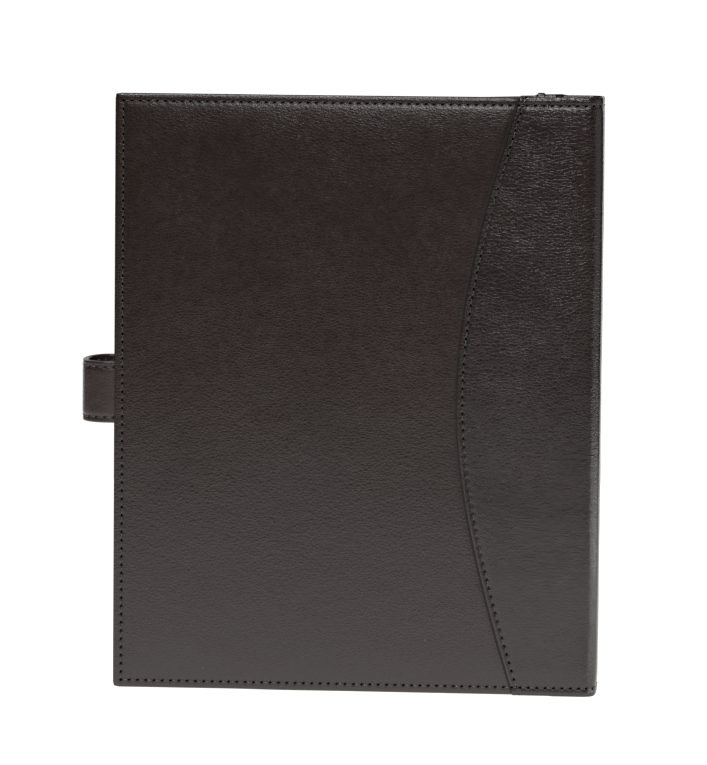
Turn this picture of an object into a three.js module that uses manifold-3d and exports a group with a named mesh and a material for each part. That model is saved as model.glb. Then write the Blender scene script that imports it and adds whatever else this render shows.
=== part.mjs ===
// Leather writing portfolio: two padded covers joined by a soft spine, closed by a strap with a snap.
// It stands closed on its bottom edge. Millimetres, +Z up, +X towards the spine, back cover facing -Y.
import * as THREE from "three";
import { mergeVertices } from "three/addons/utils/BufferGeometryUtils.js";
import Module from "manifold-3d";

const wasm = await Module();
wasm.setup();

// ---------- driving dimensions ----------
const width = 260; // cover, from the free edge to the spine contour
const height = 320;
const thickness = 28; // closed, over both covers

// A cover's layers, as depths below the outer face of the spine panel.
const leather = 1.1;
const panelStep = 0.7; // the spine panel lies this much proud of the main panel
const foamDepth = panelStep + leather;
const boardDepth = foamDepth + 0.8;
const turnInDepth = boardDepth + 1.6;
const liningDepth = turnInDepth + 0.6;
const innerDepth = liningDepth + 0.6; // the inner face of a cover
const turnInWidth = 14;
const liningInset = 2.5;

// The spine is a flat strip between two soft corners, with no board beside it.
const cornerRadius = 8.5;
const boardToSpine = 26.6;
const softLiningDepth = leather + 0.8;
const softInnerDepth = softLiningDepth + 0.8;

// The curved edge of the spine panel is a hyperbola about mid-height.
const seamReach = 76.6; // furthest from the spine contour
const seamFlat = 42;
const seamSlope = 0.38;
const seamSteps = 28;
const underlap = 8; // of the main panel, past the seam
const underlapRoot = 1; // where the underlap joins the panel's face

// Stitching lies in shallow channels.
const edgeStitch = 4.5;
const seamStitch = 3;
const threadWidth = 0.5;
const threadTop = 0.15;
const channelWidth = 1.1;
const channelDepth = 0.45;
const threadStep = 1.5; // run of the thread where it climbs onto the spine panel
const threadStop = 1; // it ends this far from the soft corner
const threadGap = 2; // between the seam's thread and the edge's

// The closing strap has two plies.
const strapHeight = 33;
const strapBottom = 142;
const strapThickness = 3.4;
const strapReach = 18.6; // past the free edge
const strapEnd = 50; // along the front cover
const strapRootDepth = 3.3; // its centre where it leaves the back cover
const strapRootLength = 10;
const strapRootThickness = 2.8;
const strapStandOff = 1.3; // from the closed front cover to the strap
const strapEndRadius = 12;
const strapStitch = 3;
const strapStitchStart = 2; // past the bend
const bendSegments = 20;

// The snap.
const snapX = 34;
const studFlangeRadius = 5.5;
const studFlange = 0.6;
const studRadius = 2;
const socketRadius = 5;
const socketHeight = 1.1;
const capRadius = 6.5;
const capHeight = 1.9;
const capRim = 0.5;
const capSteps = 6;
const studGap = 0.1; // under the snap's cap
const shaftRadius = 1.2;
const postRadius = 1.5;
const postHeadRadius = 4.5;
const fit = 0.3; // clearance beside a piece that is let in or that moves
const past = 1; // a cutter reaches this far beyond the piece it cuts
const mergeWithin = 0.001;

// The writing pad and its pocket.
const padWidth = 216;
const padHeight = 279;
const backing = 0.8;
const paper = 4.8;
const bindingHeight = 12;
const bindingThickness = 0.3;
const pocketLeft = 7;
const pocketRight = 230;
const pocketBottom = 8;
const padPocketHeight = 150;
const pocketRim = 2.5;
const pocketPanel = 0.9;
const bandHeight = 7;
const bandThickness = 0.5;
const padBandThickness = 0.2; // between the pad pocket's panel and the paper

// The front cover's pockets.
const documentPocketHeight = 214;
const documentSpace = 0.8;
const slotCount = 4;
const slotLeft = 22;
const slotWidth = 96;
const slotBottom = 22;
const slotHeight = 58;
const slotStep = 14;
const slotPly = 0.6;
const windowLeft = 134;
const windowBottom = 40;
const windowWidth = 86;
const windowHeight = 60;
const windowBorder = 7;
const windowPly = 0.8;
const film = 0.3;
const filmOverlap = 3; // of its recess, past the opening

// The pen loop on the lining of the spine.
const penBore = 10.4;
const penWall = 0.9;
const penLoopHeight = 26;
const penLoopBottom = 190;

// ---------- places worked out from them ----------
const softEdge = width - cornerRadius; // a cover ends here and its soft corner starts
const boardEdge = width - boardToSpine;
const strapTop = strapBottom + strapHeight;
const strapMiddle = (strapBottom + strapTop) / 2;
const strapPly = strapThickness / 2;
const strapInner = thickness + strapStandOff;
const strapOuter = strapInner + strapThickness;
const bendRadius = (strapInner + strapPly - strapRootDepth) / 2;
const bendX = bendRadius + strapPly - strapReach;
const bendY = strapRootDepth + bendRadius;
const backingDepth = innerDepth + fit;
const padPanelDepth = backingDepth + backing + fit;
const paperDepth = padPanelDepth + pocketPanel + fit;
const padLeft = (pocketLeft + pocketRight - padWidth) / 2;
const padBottom = pocketBottom + pocketRim + fit;
const padTop = padBottom + padHeight;
const documentDepth = innerDepth + documentSpace;
const slotDepth = documentDepth + pocketPanel;
const penX = width - softInnerDepth - penWall - penBore / 2;

// ---------- materials ----------
function material(color, roughness, metalness = 0) {
  return new THREE.MeshStandardMaterial({ color, roughness, metalness });
}
const paint = {
  leather: () => material(0x2e2724, 0.55),
  lining: () => material(0x1f1d1c, 0.85),
  thread: () => material(0x4a4038, 0.7),
  foam: () => material(0x55524e, 0.95),
  board: () => material(0x8a7a62, 0.9),
  paper: () => material(0xf0eee6, 0.8),
  binding: () => material(0x2a2f3c, 0.7),
  film: () => material(0xc8ccd0, 0.2),
  metal: () => material(0x8f8a80, 0.35, 0.9),
};

// ---------- geometry helpers ----------
// Moves every vertex to where a function of its coordinates says, so that faces that meet agree exactly.
function place(geometry, target) {
  const position = geometry.attributes.position;
  for (let i = 0; i < position.count; i += 1) {
    position.setXYZ(i, ...target(position.getX(i), position.getY(i), position.getZ(i)));
  }
  return geometry;
}

function box(x0, x1, y0, y1, z0, z1) {
  const corner = (x, y, z) => [x < 0 ? x0 : x1, y < 0 ? y0 : y1, z < 0 ? z0 : z1];
  return place(new THREE.BoxGeometry(1, 1, 1), corner);
}

function outline(points) {
  return new THREE.Shape(points.map(([x, z]) => new THREE.Vector2(x, z)));
}

// An outline drawn in X and Z, given thickness from y0 to y1.
function slab(shape, y0, y1) {
  const extent = { depth: 1, bevelEnabled: false, curveSegments: 8 };
  return place(new THREE.ExtrudeGeometry(shape, extent), (x, z, far) => [x, far > 0.5 ? y0 : y1, z]);
}

// An outline drawn in X and Y, given height from z0 to z1.
function column(shape, z0, z1) {
  const extent = { depth: 1, bevelEnabled: false, curveSegments: bendSegments };
  return place(new THREE.ExtrudeGeometry(shape, extent), (x, y, far) => [x, y, far > 0.5 ? z1 : z0]);
}

// A round piece about the snap's axis; the profile holds [radius, y] pairs from low y to high y.
function turned(profile, segments = 32) {
  const points = profile.map(([radius, y]) => new THREE.Vector2(radius, y));
  return new THREE.LatheGeometry(points, segments).translate(snapX, 0, strapMiddle);
}

function disc(radius, y0, y1) {
  return turned([[0, y0], [radius, y0], [radius, y1], [0, y1]]);
}

// Part of a ring in X and Y, between two angles in degrees.
function ringSector(x, y, inner, outer, from, to) {
  const start = THREE.MathUtils.degToRad(from);
  const end = THREE.MathUtils.degToRad(to);
  const shape = new THREE.Shape();
  shape.absarc(x, y, outer, start, end, false);
  shape.absarc(x, y, inner, end, start, true);
  shape.closePath();
  return shape;
}

function solid(geometry) {
  const bare = geometry.clone();
  bare.deleteAttribute("normal");
  bare.deleteAttribute("uv");
  const merged = mergeVertices(bare, 1e-4);
  const vertProperties = merged.attributes.position.array;
  const triVerts = new Uint32Array(merged.index.array);
  return new wasm.Manifold(new wasm.Mesh({ numProp: 3, vertProperties, triVerts }));
}

// The solid's surface, with the flat faces that its pieces shared merged.
function shapeOf(made) {
  const mesh = made.asOriginal().simplify(mergeWithin).getMesh();
  const geometry = new THREE.BufferGeometry();
  geometry.setAttribute("position", new THREE.BufferAttribute(mesh.vertProperties, 3));
  geometry.setIndex(new THREE.BufferAttribute(mesh.triVerts, 1));
  return geometry;
}

function join(pieces) {
  return shapeOf(pieces.map(solid).reduce((all, piece) => all.add(piece)));
}

function cut(body, tools) {
  return shapeOf(tools.map(solid).reduce((rest, tool) => rest.subtract(tool), solid(body)));
}

const portfolio = new THREE.Group();
function add(name, paintName, geometry) {
  const mesh = new THREE.Mesh(geometry, paint[paintName]());
  mesh.name = name;
  portfolio.add(mesh);
}

// ---------- the seam of the spine panel ----------
const seamHeights = Array.from({ length: seamSteps + 1 }, (_, i) => (i * height) / seamSteps);

function seamX(z) {
  const drop = Math.hypot(seamFlat, seamSlope * (z - height / 2)) - seamFlat;
  return width - seamReach + drop;
}

// The seam's line moved towards the spine by an offset, between two heights.
function seamLine(offset, z0 = 0, z1 = height) {
  const between = seamHeights.filter((z) => z > z0 && z < z1);
  return [z0, ...between, z1].map((z) => [seamX(z) + offset, z]);
}

function seamStrip(near, far, margin) {
  const low = margin;
  const high = height - margin;
  return outline([...seamLine(near, low, high), ...seamLine(far, low, high).reverse()]);
}

// ---------- a cover ----------
// Depths run inwards from either cover's outer face: the front cover mirrors the back one.
const sides = {
  back: (d0, d1) => [d0, d1],
  front: (d0, d1) => [thickness - d1, thickness - d0],
};

function layer(side, x0, x1, d0, d1, z0, z1) {
  return box(x0, x1, ...sides[side](d0, d1), z0, z1);
}

function shapedLayer(side, shape, d0, d1) {
  return slab(shape, ...sides[side](d0, d1));
}

// The line of stitching round three edges, with its step up onto the spine panel.
function edgeLine(side, wide, top, bottom) {
  const half = wide / 2;
  const low = edgeStitch;
  const high = height - edgeStitch;
  const rise = panelStep;
  const seam = Math.floor(seamX(low));
  const stepStart = seam - threadStep;
  const upright = layer(side, low - half, low + half, rise + top, rise + bottom, low - half, high + half);
  const pieces = [upright];
  for (const z of [low, high]) {
    pieces.push(layer(side, low, seam, rise + top, rise + bottom, z - half, z + half));
    pieces.push(layer(side, stepStart, seam, top, rise + bottom, z - half, z + half));
    pieces.push(layer(side, stepStart, softEdge - threadStop, top, bottom, z - half, z + half));
  }
  return join(pieces);
}

function seamThread(side, wide, top, bottom) {
  const strip = seamStrip(seamStitch - wide / 2, seamStitch + wide / 2, edgeStitch + threadGap);
  return shapedLayer(side, strip, top, bottom);
}

function edgeChannel(side) {
  return edgeLine(side, channelWidth, -past, channelDepth);
}

// The turned-in edge along the bottom or the top: a wall and a flange under the lining.
function turnIn(side, x0, x1, d0, atTop) {
  const wall = atTop ? [height - leather, height] : [0, leather];
  const flange = atTop ? [height - turnInWidth, height - leather] : [leather, turnInWidth];
  return [
    layer(side, x0, x1, d0, liningDepth, ...wall),
    layer(side, x0, x1, turnInDepth, liningDepth, ...flange),
  ];
}

function mainPanel(side, openings) {
  const face = outline([[0, 0], ...seamLine(0), [0, height]]);
  const end = seamX(0);
  const pieces = [
    shapedLayer(side, face, panelStep, foamDepth),
    shapedLayer(side, seamStrip(-underlapRoot, underlap, leather + fit), leather, foamDepth),
    layer(side, 0, leather, foamDepth, liningDepth, 0, height),
    layer(side, leather, turnInWidth, turnInDepth, liningDepth, leather, height - leather),
    ...turnIn(side, 0, end, foamDepth, false),
    ...turnIn(side, 0, end, foamDepth, true),
  ];
  return cut(join(pieces), [edgeChannel(side), ...openings]);
}

function spinePanel(side) {
  const face = outline([...seamLine(0), [softEdge, height], [softEdge, 0]]);
  const start = seamX(0) + fit;
  const pieces = [
    shapedLayer(side, face, 0, leather),
    ...turnIn(side, start, boardEdge, leather, false),
    ...turnIn(side, start, boardEdge, leather, true),
    layer(side, boardEdge, softEdge, leather, softLiningDepth, 0, leather),
    layer(side, boardEdge, softEdge, leather, softLiningDepth, height - leather, height),
  ];
  const channel = seamThread(side, channelWidth, -past, channelDepth);
  return cut(join(pieces), [edgeChannel(side), channel]);
}

function foamSheet(side, openings) {
  const low = leather;
  const high = height - leather;
  const raised = outline([
    ...seamLine(underlap, low + fit, high - fit),
    [boardEdge, high - fit],
    [boardEdge, low + fit],
  ]);
  const pieces = [
    layer(side, leather, boardEdge, foamDepth, boardDepth, low, high),
    shapedLayer(side, raised, leather, foamDepth),
    layer(side, boardEdge, softEdge, leather, softLiningDepth, low, high),
  ];
  return cut(join(pieces), openings);
}

function boardSheet(side, openings) {
  const sheet = layer(side, leather, boardEdge, boardDepth, turnInDepth, leather, height - leather);
  return cut(sheet, openings);
}

// The lining lies on the turned-in edges, sinks between them, and steps down beside the spine.
function liningSheet(side, openings) {
  const low = liningInset;
  const high = height - liningInset;
  const step = boardEdge + innerDepth - liningDepth;
  const pieces = [
    layer(side, liningInset, step, liningDepth, innerDepth, low, high),
    layer(side, turnInWidth, boardEdge, turnInDepth, liningDepth, turnInWidth, height - turnInWidth),
    layer(side, boardEdge, step, softLiningDepth, liningDepth, low, high),
    layer(side, boardEdge, softEdge, softLiningDepth, softInnerDepth, low, high),
  ];
  return cut(join(pieces), openings);
}

function cover(side, openings) {
  add(`${side}_main_panel`, "leather", mainPanel(side, openings));
  add(`${side}_spine_panel`, "leather", spinePanel(side));
  add(`${side}_foam`, "foam", foamSheet(side, openings));
  add(`${side}_board`, "board", boardSheet(side, openings));
  add(`${side}_lining`, "lining", liningSheet(side, openings));
  add(`${side}_edge_stitching`, "thread", edgeLine(side, threadWidth, threadTop, channelDepth));
  add(`${side}_seam_stitching`, "thread", seamThread(side, threadWidth, threadTop, channelDepth));
}

const strapSlot = layer(
  "back",
  -past,
  strapRootLength + fit,
  foamDepth,
  liningDepth,
  strapBottom - fit,
  strapTop + fit,
);
const postHole = disc(postRadius + fit, thickness - turnInDepth - fit, thickness);
const postRecess = disc(postHeadRadius + fit, thickness - liningDepth, thickness - turnInDepth);
cover("back", [strapSlot]);
cover("front", [postHole, postRecess]);

// ---------- the spine and its soft corners ----------
function spineLayer(d0, d1, inset) {
  const low = cornerRadius;
  const high = thickness - cornerRadius;
  return box(width - d1, width - d0, low, high, inset, height - inset);
}
add("spine_leather", "leather", spineLayer(0, leather, 0));
add("spine_stiffener", "board", spineLayer(leather, softLiningDepth, liningInset));
add("spine_lining", "lining", spineLayer(softLiningDepth, softInnerDepth, liningInset));

const corners = { back: [cornerRadius, 270, 360], front: [thickness - cornerRadius, 0, 90] };
for (const [side, [y, from, to]] of Object.entries(corners)) {
  const skin = ringSector(softEdge, y, cornerRadius - leather, cornerRadius, from, to);
  const inner = cornerRadius - softInnerDepth;
  const lining = ringSector(softEdge, y, inner, cornerRadius - softLiningDepth, from, to);
  add(`${side}_corner_leather`, "leather", column(skin, 0, height));
  add(`${side}_corner_lining`, "lining", column(lining, liningInset, height - liningInset));
}

// ---------- the pen loop ----------
const penMiddle = thickness / 2;
const penOuter = new THREE.Shape().absarc(penX, penMiddle, penBore / 2 + penWall, 0, 2 * Math.PI);
const penInner = new THREE.Shape().absarc(penX, penMiddle, penBore / 2, 0, 2 * Math.PI);
const penTop = penLoopBottom + penLoopHeight;
const penFoot = box(
  width - softInnerDepth - penWall,
  width - softInnerDepth,
  cornerRadius,
  thickness - cornerRadius,
  penLoopBottom,
  penTop,
);
const penLoop = join([column(penOuter, penLoopBottom, penTop), penFoot]);
add("pen_loop", "leather", cut(penLoop, [column(penInner, penLoopBottom - past, penTop + past)]));

// ---------- pockets ----------
// A panel held off the lining by its turned rim on three sides, open at its top.
function pocket(side, panelDepth, pocketHeight) {
  const high = pocketBottom + pocketHeight;
  const rims = [
    [pocketLeft, pocketLeft + pocketRim, pocketBottom, high],
    [pocketRight - pocketRim, pocketRight, pocketBottom, high],
    [pocketLeft, pocketRight, pocketBottom, pocketBottom + pocketRim],
  ];
  return join([
    layer(side, pocketLeft, pocketRight, panelDepth, panelDepth + pocketPanel, pocketBottom, high),
    ...rims.map(([x0, x1, z0, z1]) => layer(side, x0, x1, innerDepth, panelDepth, z0, z1)),
  ]);
}

// The folded band over a pocket's open edge: it clasps the panel from both sides.
function pocketBand(side, panelDepth, pocketHeight, inner) {
  const top = pocketBottom + pocketHeight;
  const outerFace = panelDepth + pocketPanel;
  const x0 = pocketLeft + pocketRim + fit;
  const x1 = pocketRight - pocketRim - fit;
  return join([
    layer(side, x0, x1, outerFace, outerFace + inner, top - bandHeight, top),
    layer(side, x0, x1, panelDepth, outerFace + inner, top, top + bandThickness),
  ]);
}

function pocketWithBand(name, side, panelDepth, pocketHeight, band) {
  add(name, "lining", pocket(side, panelDepth, pocketHeight));
  add(`${name}_binding`, "leather", pocketBand(side, panelDepth, pocketHeight, band));
}
pocketWithBand("pad_pocket", "back", padPanelDepth, padPocketHeight, padBandThickness);
pocketWithBand("document_pocket", "front", documentDepth, documentPocketHeight, bandThickness);

for (let i = 0; i < slotCount; i += 1) {
  const top = slotBottom + slotHeight + (slotCount - 1 - i) * slotStep;
  const depth = slotDepth + i * slotPly;
  const slot = layer("front", slotLeft, slotLeft + slotWidth, depth, depth + slotPly, slotBottom, top);
  add(`card_slot_${i + 1}`, "leather", slot);
}

const windowRight = windowLeft + windowWidth;
const windowTop = windowBottom + windowHeight;
function windowLayer(border, d0, d1) {
  const left = windowLeft + border;
  const right = windowRight - border;
  const low = windowBottom + border;
  const high = windowTop - border;
  return layer("front", left, right, slotDepth + d0, slotDepth + d1, low, high);
}
const filmBorder = windowBorder - filmOverlap;
const windowRecess = windowLayer(filmBorder, -past, film);
const windowOpening = windowLayer(windowBorder, -past, windowPly + past);
add("id_window_frame", "leather", cut(windowLayer(0, 0, windowPly), [windowRecess, windowOpening]));
add("id_window_film", "film", windowLayer(filmBorder + fit, 0, film));

// ---------- the writing pad ----------
const padRight = padLeft + padWidth;
const paperInner = paperDepth + paper;
const bindingLow = padTop - bindingHeight;
const bindingInner = paperInner + bindingThickness;
function padLayer(d0, d1, z0, z1) {
  return layer("back", padLeft, padRight, d0, d1, z0, z1);
}
const padBinding = join([
  padLayer(paperInner, bindingInner, bindingLow, padTop),
  padLayer(backingDepth, bindingInner, padTop, padTop + bindingThickness),
  padLayer(backingDepth + backing, paperDepth, bindingLow, padTop),
]);
add("pad_backing", "board", padLayer(backingDepth, backingDepth + backing, padBottom, padTop));
add("pad_paper", "paper", padLayer(paperDepth, paperInner, padBottom, padTop));
add("pad_binding", "binding", padBinding);

// ---------- the strap ----------
const rootHalf = strapRootThickness / 2;
const strapRoot = join([
  box(-fit, strapRootLength, strapRootDepth - rootHalf, strapRootDepth + rootHalf, strapBottom, strapTop),
  box(bendX, -fit, strapRootDepth - strapPly, strapRootDepth + strapPly, strapBottom, strapTop),
]);
add("strap_root", "leather", strapRoot);

const bendPlies = {
  outer: [bendRadius, bendRadius + strapPly],
  lining: [bendRadius - strapPly, bendRadius],
};
for (const [ply, [inner, outer]] of Object.entries(bendPlies)) {
  const shape = ringSector(bendX, bendY, inner, outer, 90, 270);
  add(`strap_bend_${ply}`, "leather", column(shape, strapBottom, strapTop));
}

// The tab's outline, drawn in by a margin, with its far corners rounded.
function tabOutline(margin, start) {
  const radius = strapEndRadius - margin;
  const low = strapBottom + margin;
  const high = strapTop - margin;
  const end = strapEnd - margin;
  const shape = new THREE.Shape();
  shape.moveTo(start, low);
  shape.absarc(end - radius, low + radius, radius, -Math.PI / 2, 0, false);
  shape.absarc(end - radius, high - radius, radius, 0, Math.PI / 2, false);
  shape.lineTo(start, high);
  shape.closePath();
  return shape;
}

function tabStitching(wide, top, bottom) {
  const start = bendX + strapStitchStart;
  const ring = slab(tabOutline(strapStitch - wide / 2, start), strapOuter - bottom, strapOuter - top);
  const middle = tabOutline(strapStitch + wide / 2, start - past);
  return cut(ring, [slab(middle, strapInner, strapOuter - top + past)]);
}

const capHole = disc(shaftRadius + fit, strapInner - past, strapOuter + past);
const tabChannel = tabStitching(channelWidth, -past, channelDepth);
const tabLining = slab(tabOutline(0, bendX), strapInner, strapInner + strapPly);
const tabOuter = slab(tabOutline(0, bendX), strapInner + strapPly, strapOuter);
add("strap_tab_lining", "leather", cut(tabLining, [capHole]));
add("strap_tab_outer", "leather", cut(tabOuter, [capHole, tabChannel]));
add("strap_tab_stitching", "thread", tabStitching(threadWidth, threadTop, channelDepth));

// ---------- the snap ----------
const frontFace = thickness - panelStep;
const studTop = strapInner - studGap;
add(
  "snap_stud",
  "metal",
  turned([
    [0, frontFace],
    [studFlangeRadius, frontFace],
    [studFlangeRadius, frontFace + studFlange],
    [studRadius, frontFace + studFlange],
    [studRadius, studTop],
    [0, studTop],
  ]),
);
const headFace = thickness - liningDepth;
const headBack = thickness - turnInDepth;
add(
  "snap_post",
  "metal",
  turned([
    [0, headFace],
    [postHeadRadius, headFace],
    [postHeadRadius, headBack],
    [postRadius, headBack],
    [postRadius, frontFace],
    [0, frontFace],
  ]),
);
const socketBore = studRadius + fit;
const socketRing = turned([
  [socketBore, strapInner - socketHeight],
  [socketRadius, strapInner - socketHeight],
  [socketRadius, strapInner],
  [socketBore, strapInner],
  [socketBore, strapInner - socketHeight],
]);
add("snap_socket", "metal", socketRing);
const dome = Array.from({ length: capSteps + 1 }, (_, i) => {
  const angle = (i / capSteps) * (Math.PI / 2);
  const rise = (capHeight - capRim) * Math.sin(angle);
  return [capRadius * Math.cos(angle), strapOuter + capRim + rise];
});
dome[capSteps][0] = 0;
add(
  "snap_cap",
  "metal",
  turned([
    [0, strapInner],
    [shaftRadius, strapInner],
    [shaftRadius, strapOuter],
    [capRadius, strapOuter],
    ...dome,
  ]),
);

// The origin is under the middle of the closed portfolio, strap and snap included.
const middleX = (width - strapReach) / 2;
const middleY = (strapOuter + capHeight) / 2;
portfolio.position.set(-middleX, -middleY, 0);

export default portfolio;
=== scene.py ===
import math

import bpy
import numpy as np
from mathutils import Matrix, Vector


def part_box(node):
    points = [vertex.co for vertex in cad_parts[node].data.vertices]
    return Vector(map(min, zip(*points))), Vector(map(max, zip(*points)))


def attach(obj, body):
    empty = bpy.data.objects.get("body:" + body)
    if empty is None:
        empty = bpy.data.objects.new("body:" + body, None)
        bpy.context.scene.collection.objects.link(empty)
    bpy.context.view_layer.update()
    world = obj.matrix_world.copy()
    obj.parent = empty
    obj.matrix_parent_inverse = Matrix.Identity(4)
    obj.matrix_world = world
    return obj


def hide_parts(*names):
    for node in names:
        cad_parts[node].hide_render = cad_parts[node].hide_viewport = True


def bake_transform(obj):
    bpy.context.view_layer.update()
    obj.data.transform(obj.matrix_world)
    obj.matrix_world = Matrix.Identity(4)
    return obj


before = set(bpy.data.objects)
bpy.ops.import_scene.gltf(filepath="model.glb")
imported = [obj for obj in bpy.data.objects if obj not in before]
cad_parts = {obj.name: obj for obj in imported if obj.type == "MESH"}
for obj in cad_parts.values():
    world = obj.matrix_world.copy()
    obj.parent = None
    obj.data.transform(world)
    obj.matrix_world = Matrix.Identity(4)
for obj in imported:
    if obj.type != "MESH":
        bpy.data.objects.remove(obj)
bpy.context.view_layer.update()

# ---------- places, in millimetres from the free edge, the back cover's outer face and the floor ----------
ORIGIN = np.array(
    [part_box("back_main_panel")[0].x * 1000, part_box("back_spine_panel")[0].y * 1000, 0.0]
)


def place_of(node):
    low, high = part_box(node)
    return np.array(low) * 1000 - ORIGIN, np.array(high) * 1000 - ORIGIN


WIDTH = place_of("spine_leather")[1][0]
HEIGHT = place_of("back_main_panel")[1][2]
THICKNESS = place_of("front_spine_panel")[1][1]
BOARD_EDGE = place_of("back_board")[1][0]
SOFT_EDGE = place_of("back_spine_panel")[1][0]
INNER = place_of("back_lining")[1][1]
CORNER = WIDTH - SOFT_EDGE
MIDDLE = THICKNESS / 2
SPINE_MIDDLE = SOFT_EDGE + CORNER * math.pi / 2 + MIDDLE - CORNER  # along the leather

PANEL_DEPTH = 0.7  # the main panel's face lies below the spine panel's
TURNED_DEPTH = 4.85  # inner side of the leather turned over a cover's edge
SOFT_DEPTH = 1.9  # inner side of the leather at the soft corner, past the board
ROLL = 2.3  # width of a cover's rolled edge
CORNER_ROUND = 2.8  # radius of the outline at the spine's lower corner
SPINE_LIFT = 1.3  # the spine's leather ends above the floor
LIFT_FADE = 9  # height in which a lift of the bottom edge dies out
FRONT_DROP = 1.3  # the front cover stands a little lower than the back at its free corner
FULL_EDGE = (0.55, 0.75)  # how square a rolled edge of leather is

STITCH_INSET = 4.5
STITCHES_UP = 70
STITCHES_ACROSS = 59.5  # up to the spine's middle, where a stitch crosses
SEAM_STITCH = 3.0  # from the spine panel's curved edge
HOLE_DEPTH = 0.15
HOLE_LENGTH = 0.85
HOLE_WIDTH = 0.52
PITCH_Z = (HEIGHT - 2 * STITCH_INSET) / STITCHES_UP
PITCH_X = (SPINE_MIDDLE - STITCH_INSET) / STITCHES_ACROSS
STEPS = 4  # mesh steps in a stitch
STEP_Z = PITCH_Z / STEPS
STEP_X = PITCH_X / STEPS

SEAM_REACH = 76.6  # width of the spine panel where it is widest
SEAM_FLAT = 42  # the curved edge is a hyperbola: this sets how flat its middle is
SEAM_SLOPE = 0.38  # and this how far its ends lean


# ---------- numbers ----------
def ramp(value, start, end):
    t = np.clip((value - start) / (end - start), 0, 1)
    return t * t * (3 - 2 * t)


def bell(distance, width):
    return np.exp(-((distance / width) ** 2))


def lumps(x, z, size, seed, stretch=1.0):
    """A smooth random field from -1 to 1, with lumps of this size, stretched in z."""
    table = np.random.default_rng(seed).uniform(-1, 1, (64, 64))
    u, v = np.asarray(x) / size, np.asarray(z) / (size * stretch)
    i, j = np.floor(u).astype(int), np.floor(v).astype(int)
    f, g = u - i, v - j
    f, g = f * f * (3 - 2 * f), g * g * (3 - 2 * g)
    a, b = table[i & 63, j & 63], table[(i + 1) & 63, j & 63]
    c, d = table[i & 63, (j + 1) & 63], table[(i + 1) & 63, (j + 1) & 63]
    return (a * (1 - f) + b * f) * (1 - g) + (c * (1 - f) + d * f) * g


def from_hole(value, pitch):
    """Distance along a line of stitching to the nearest needle hole."""
    steps = (value - STITCH_INSET) / pitch
    return (steps - np.round(steps)) * pitch


def dimple(along, across, spread=0.42):
    """The hollow round a needle hole, 1 at its middle."""
    return np.exp(-(along**2 + across**2) / spread)


def seam_x(z):
    return WIDTH - SEAM_REACH + np.hypot(SEAM_FLAT, SEAM_SLOPE * (z - HEIGHT / 2)) - SEAM_FLAT


def seam_cos(z):
    """Cosine of the seam's slope: a distance along x, times this, is the distance from the seam."""
    drop = SEAM_SLOPE * (z - HEIGHT / 2)
    return 1 / np.hypot(1, SEAM_SLOPE * drop / np.hypot(SEAM_FLAT, drop))


# ---------- mesh code ----------
def grid(xs, zs):
    return np.meshgrid(xs, zs, indexing="ij")


def plate(x, z, front, back, rims, rings=8, fullness=(1.0, 1.0), closed=True, groove=0.0):
    """A sheet over a grid of points, from its front depth to its back depth, with a rounded edge.

    rims are the edge's widths at the left, right, bottom and top. The back of an open plate is
    spanned by wide faces. Returns flat points, faces and each point's nearness to the edge.
    """
    nx, nz = x.shape
    index = np.arange(nx * nz).reshape(nx, nz)
    loop = np.concatenate([index[:, 0], index[-1, 1:], index[-2::-1, -1], index[0, -2:0:-1]])
    left, right, bottom, top = rims
    out_x, out_z = np.zeros((nx, nz)), np.zeros((nx, nz))
    out_x[0], out_x[-1] = -left, right
    out_z[:, 0], out_z[:, -1] = -bottom, top
    out_x, out_z = out_x.ravel()[loop], out_z.ravel()[loop]
    flat_front = np.stack([x, z, front], -1).reshape(-1, 3)
    flat_back = np.stack([x, z, back], -1).reshape(-1, 3)
    points, chain, nearness = [flat_front], [loop], [np.zeros(nx * nz)]
    count = nx * nz
    for k in range(rings):
        angle = math.pi * (k + 1) / (rings + 1)
        swing = math.sin(angle) ** fullness[0]
        turn = math.cos(angle)
        share = (1 - math.copysign(abs(turn) ** fullness[1], turn)) / 2
        swing -= groove * math.exp(-(((share - 0.5) / 0.1) ** 2))
        ring = flat_front[loop] * (1 - share) + flat_back[loop] * share
        ring[:, 0] += out_x * swing
        ring[:, 1] += out_z * swing
        points.append(ring)
        nearness.append(np.full(len(loop), math.sin(angle)))
        chain.append(np.arange(count, count + len(loop)))
        count += len(loop)
    a, b, c, d = index[:-1, :-1], index[1:, :-1], index[1:, 1:], index[:-1, 1:]
    faces = np.stack([a, b, c, d], -1).reshape(-1, 4).tolist()
    if closed:
        points.append(flat_back)
        nearness.append(np.zeros(nx * nz))
        chain.append(loop + count)
        faces += (np.stack([a, d, c, b], -1).reshape(-1, 4) + count).tolist()
    else:
        points.append(flat_back[loop])
        nearness.append(np.zeros(len(loop)))
        last = np.arange(count, count + len(loop))
        chain.append(last)
        low, high = last[:nx], last[nx + nz - 2 : 2 * nx + nz - 2][::-1]
        side_right = last[nx - 1 : nx + nz - 1]
        side_left = np.concatenate([[last[0]], last[2 * nx + nz - 2 :][::-1], [high[0]]])
        faces.append([side_left[1], side_right[1], *low[::-1]])
        faces.append([side_right[-2], side_left[-2], *high])
        for j in range(1, nz - 2):
            faces.append([side_left[j], side_left[j + 1], side_right[j + 1], side_right[j]])
    for first, second in zip(chain[:-1], chain[1:]):
        around = [first, second, np.roll(second, -1), np.roll(first, -1)]
        faces += np.stack(around, -1).tolist()
    return np.concatenate(points), faces, np.concatenate(nearness)


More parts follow.
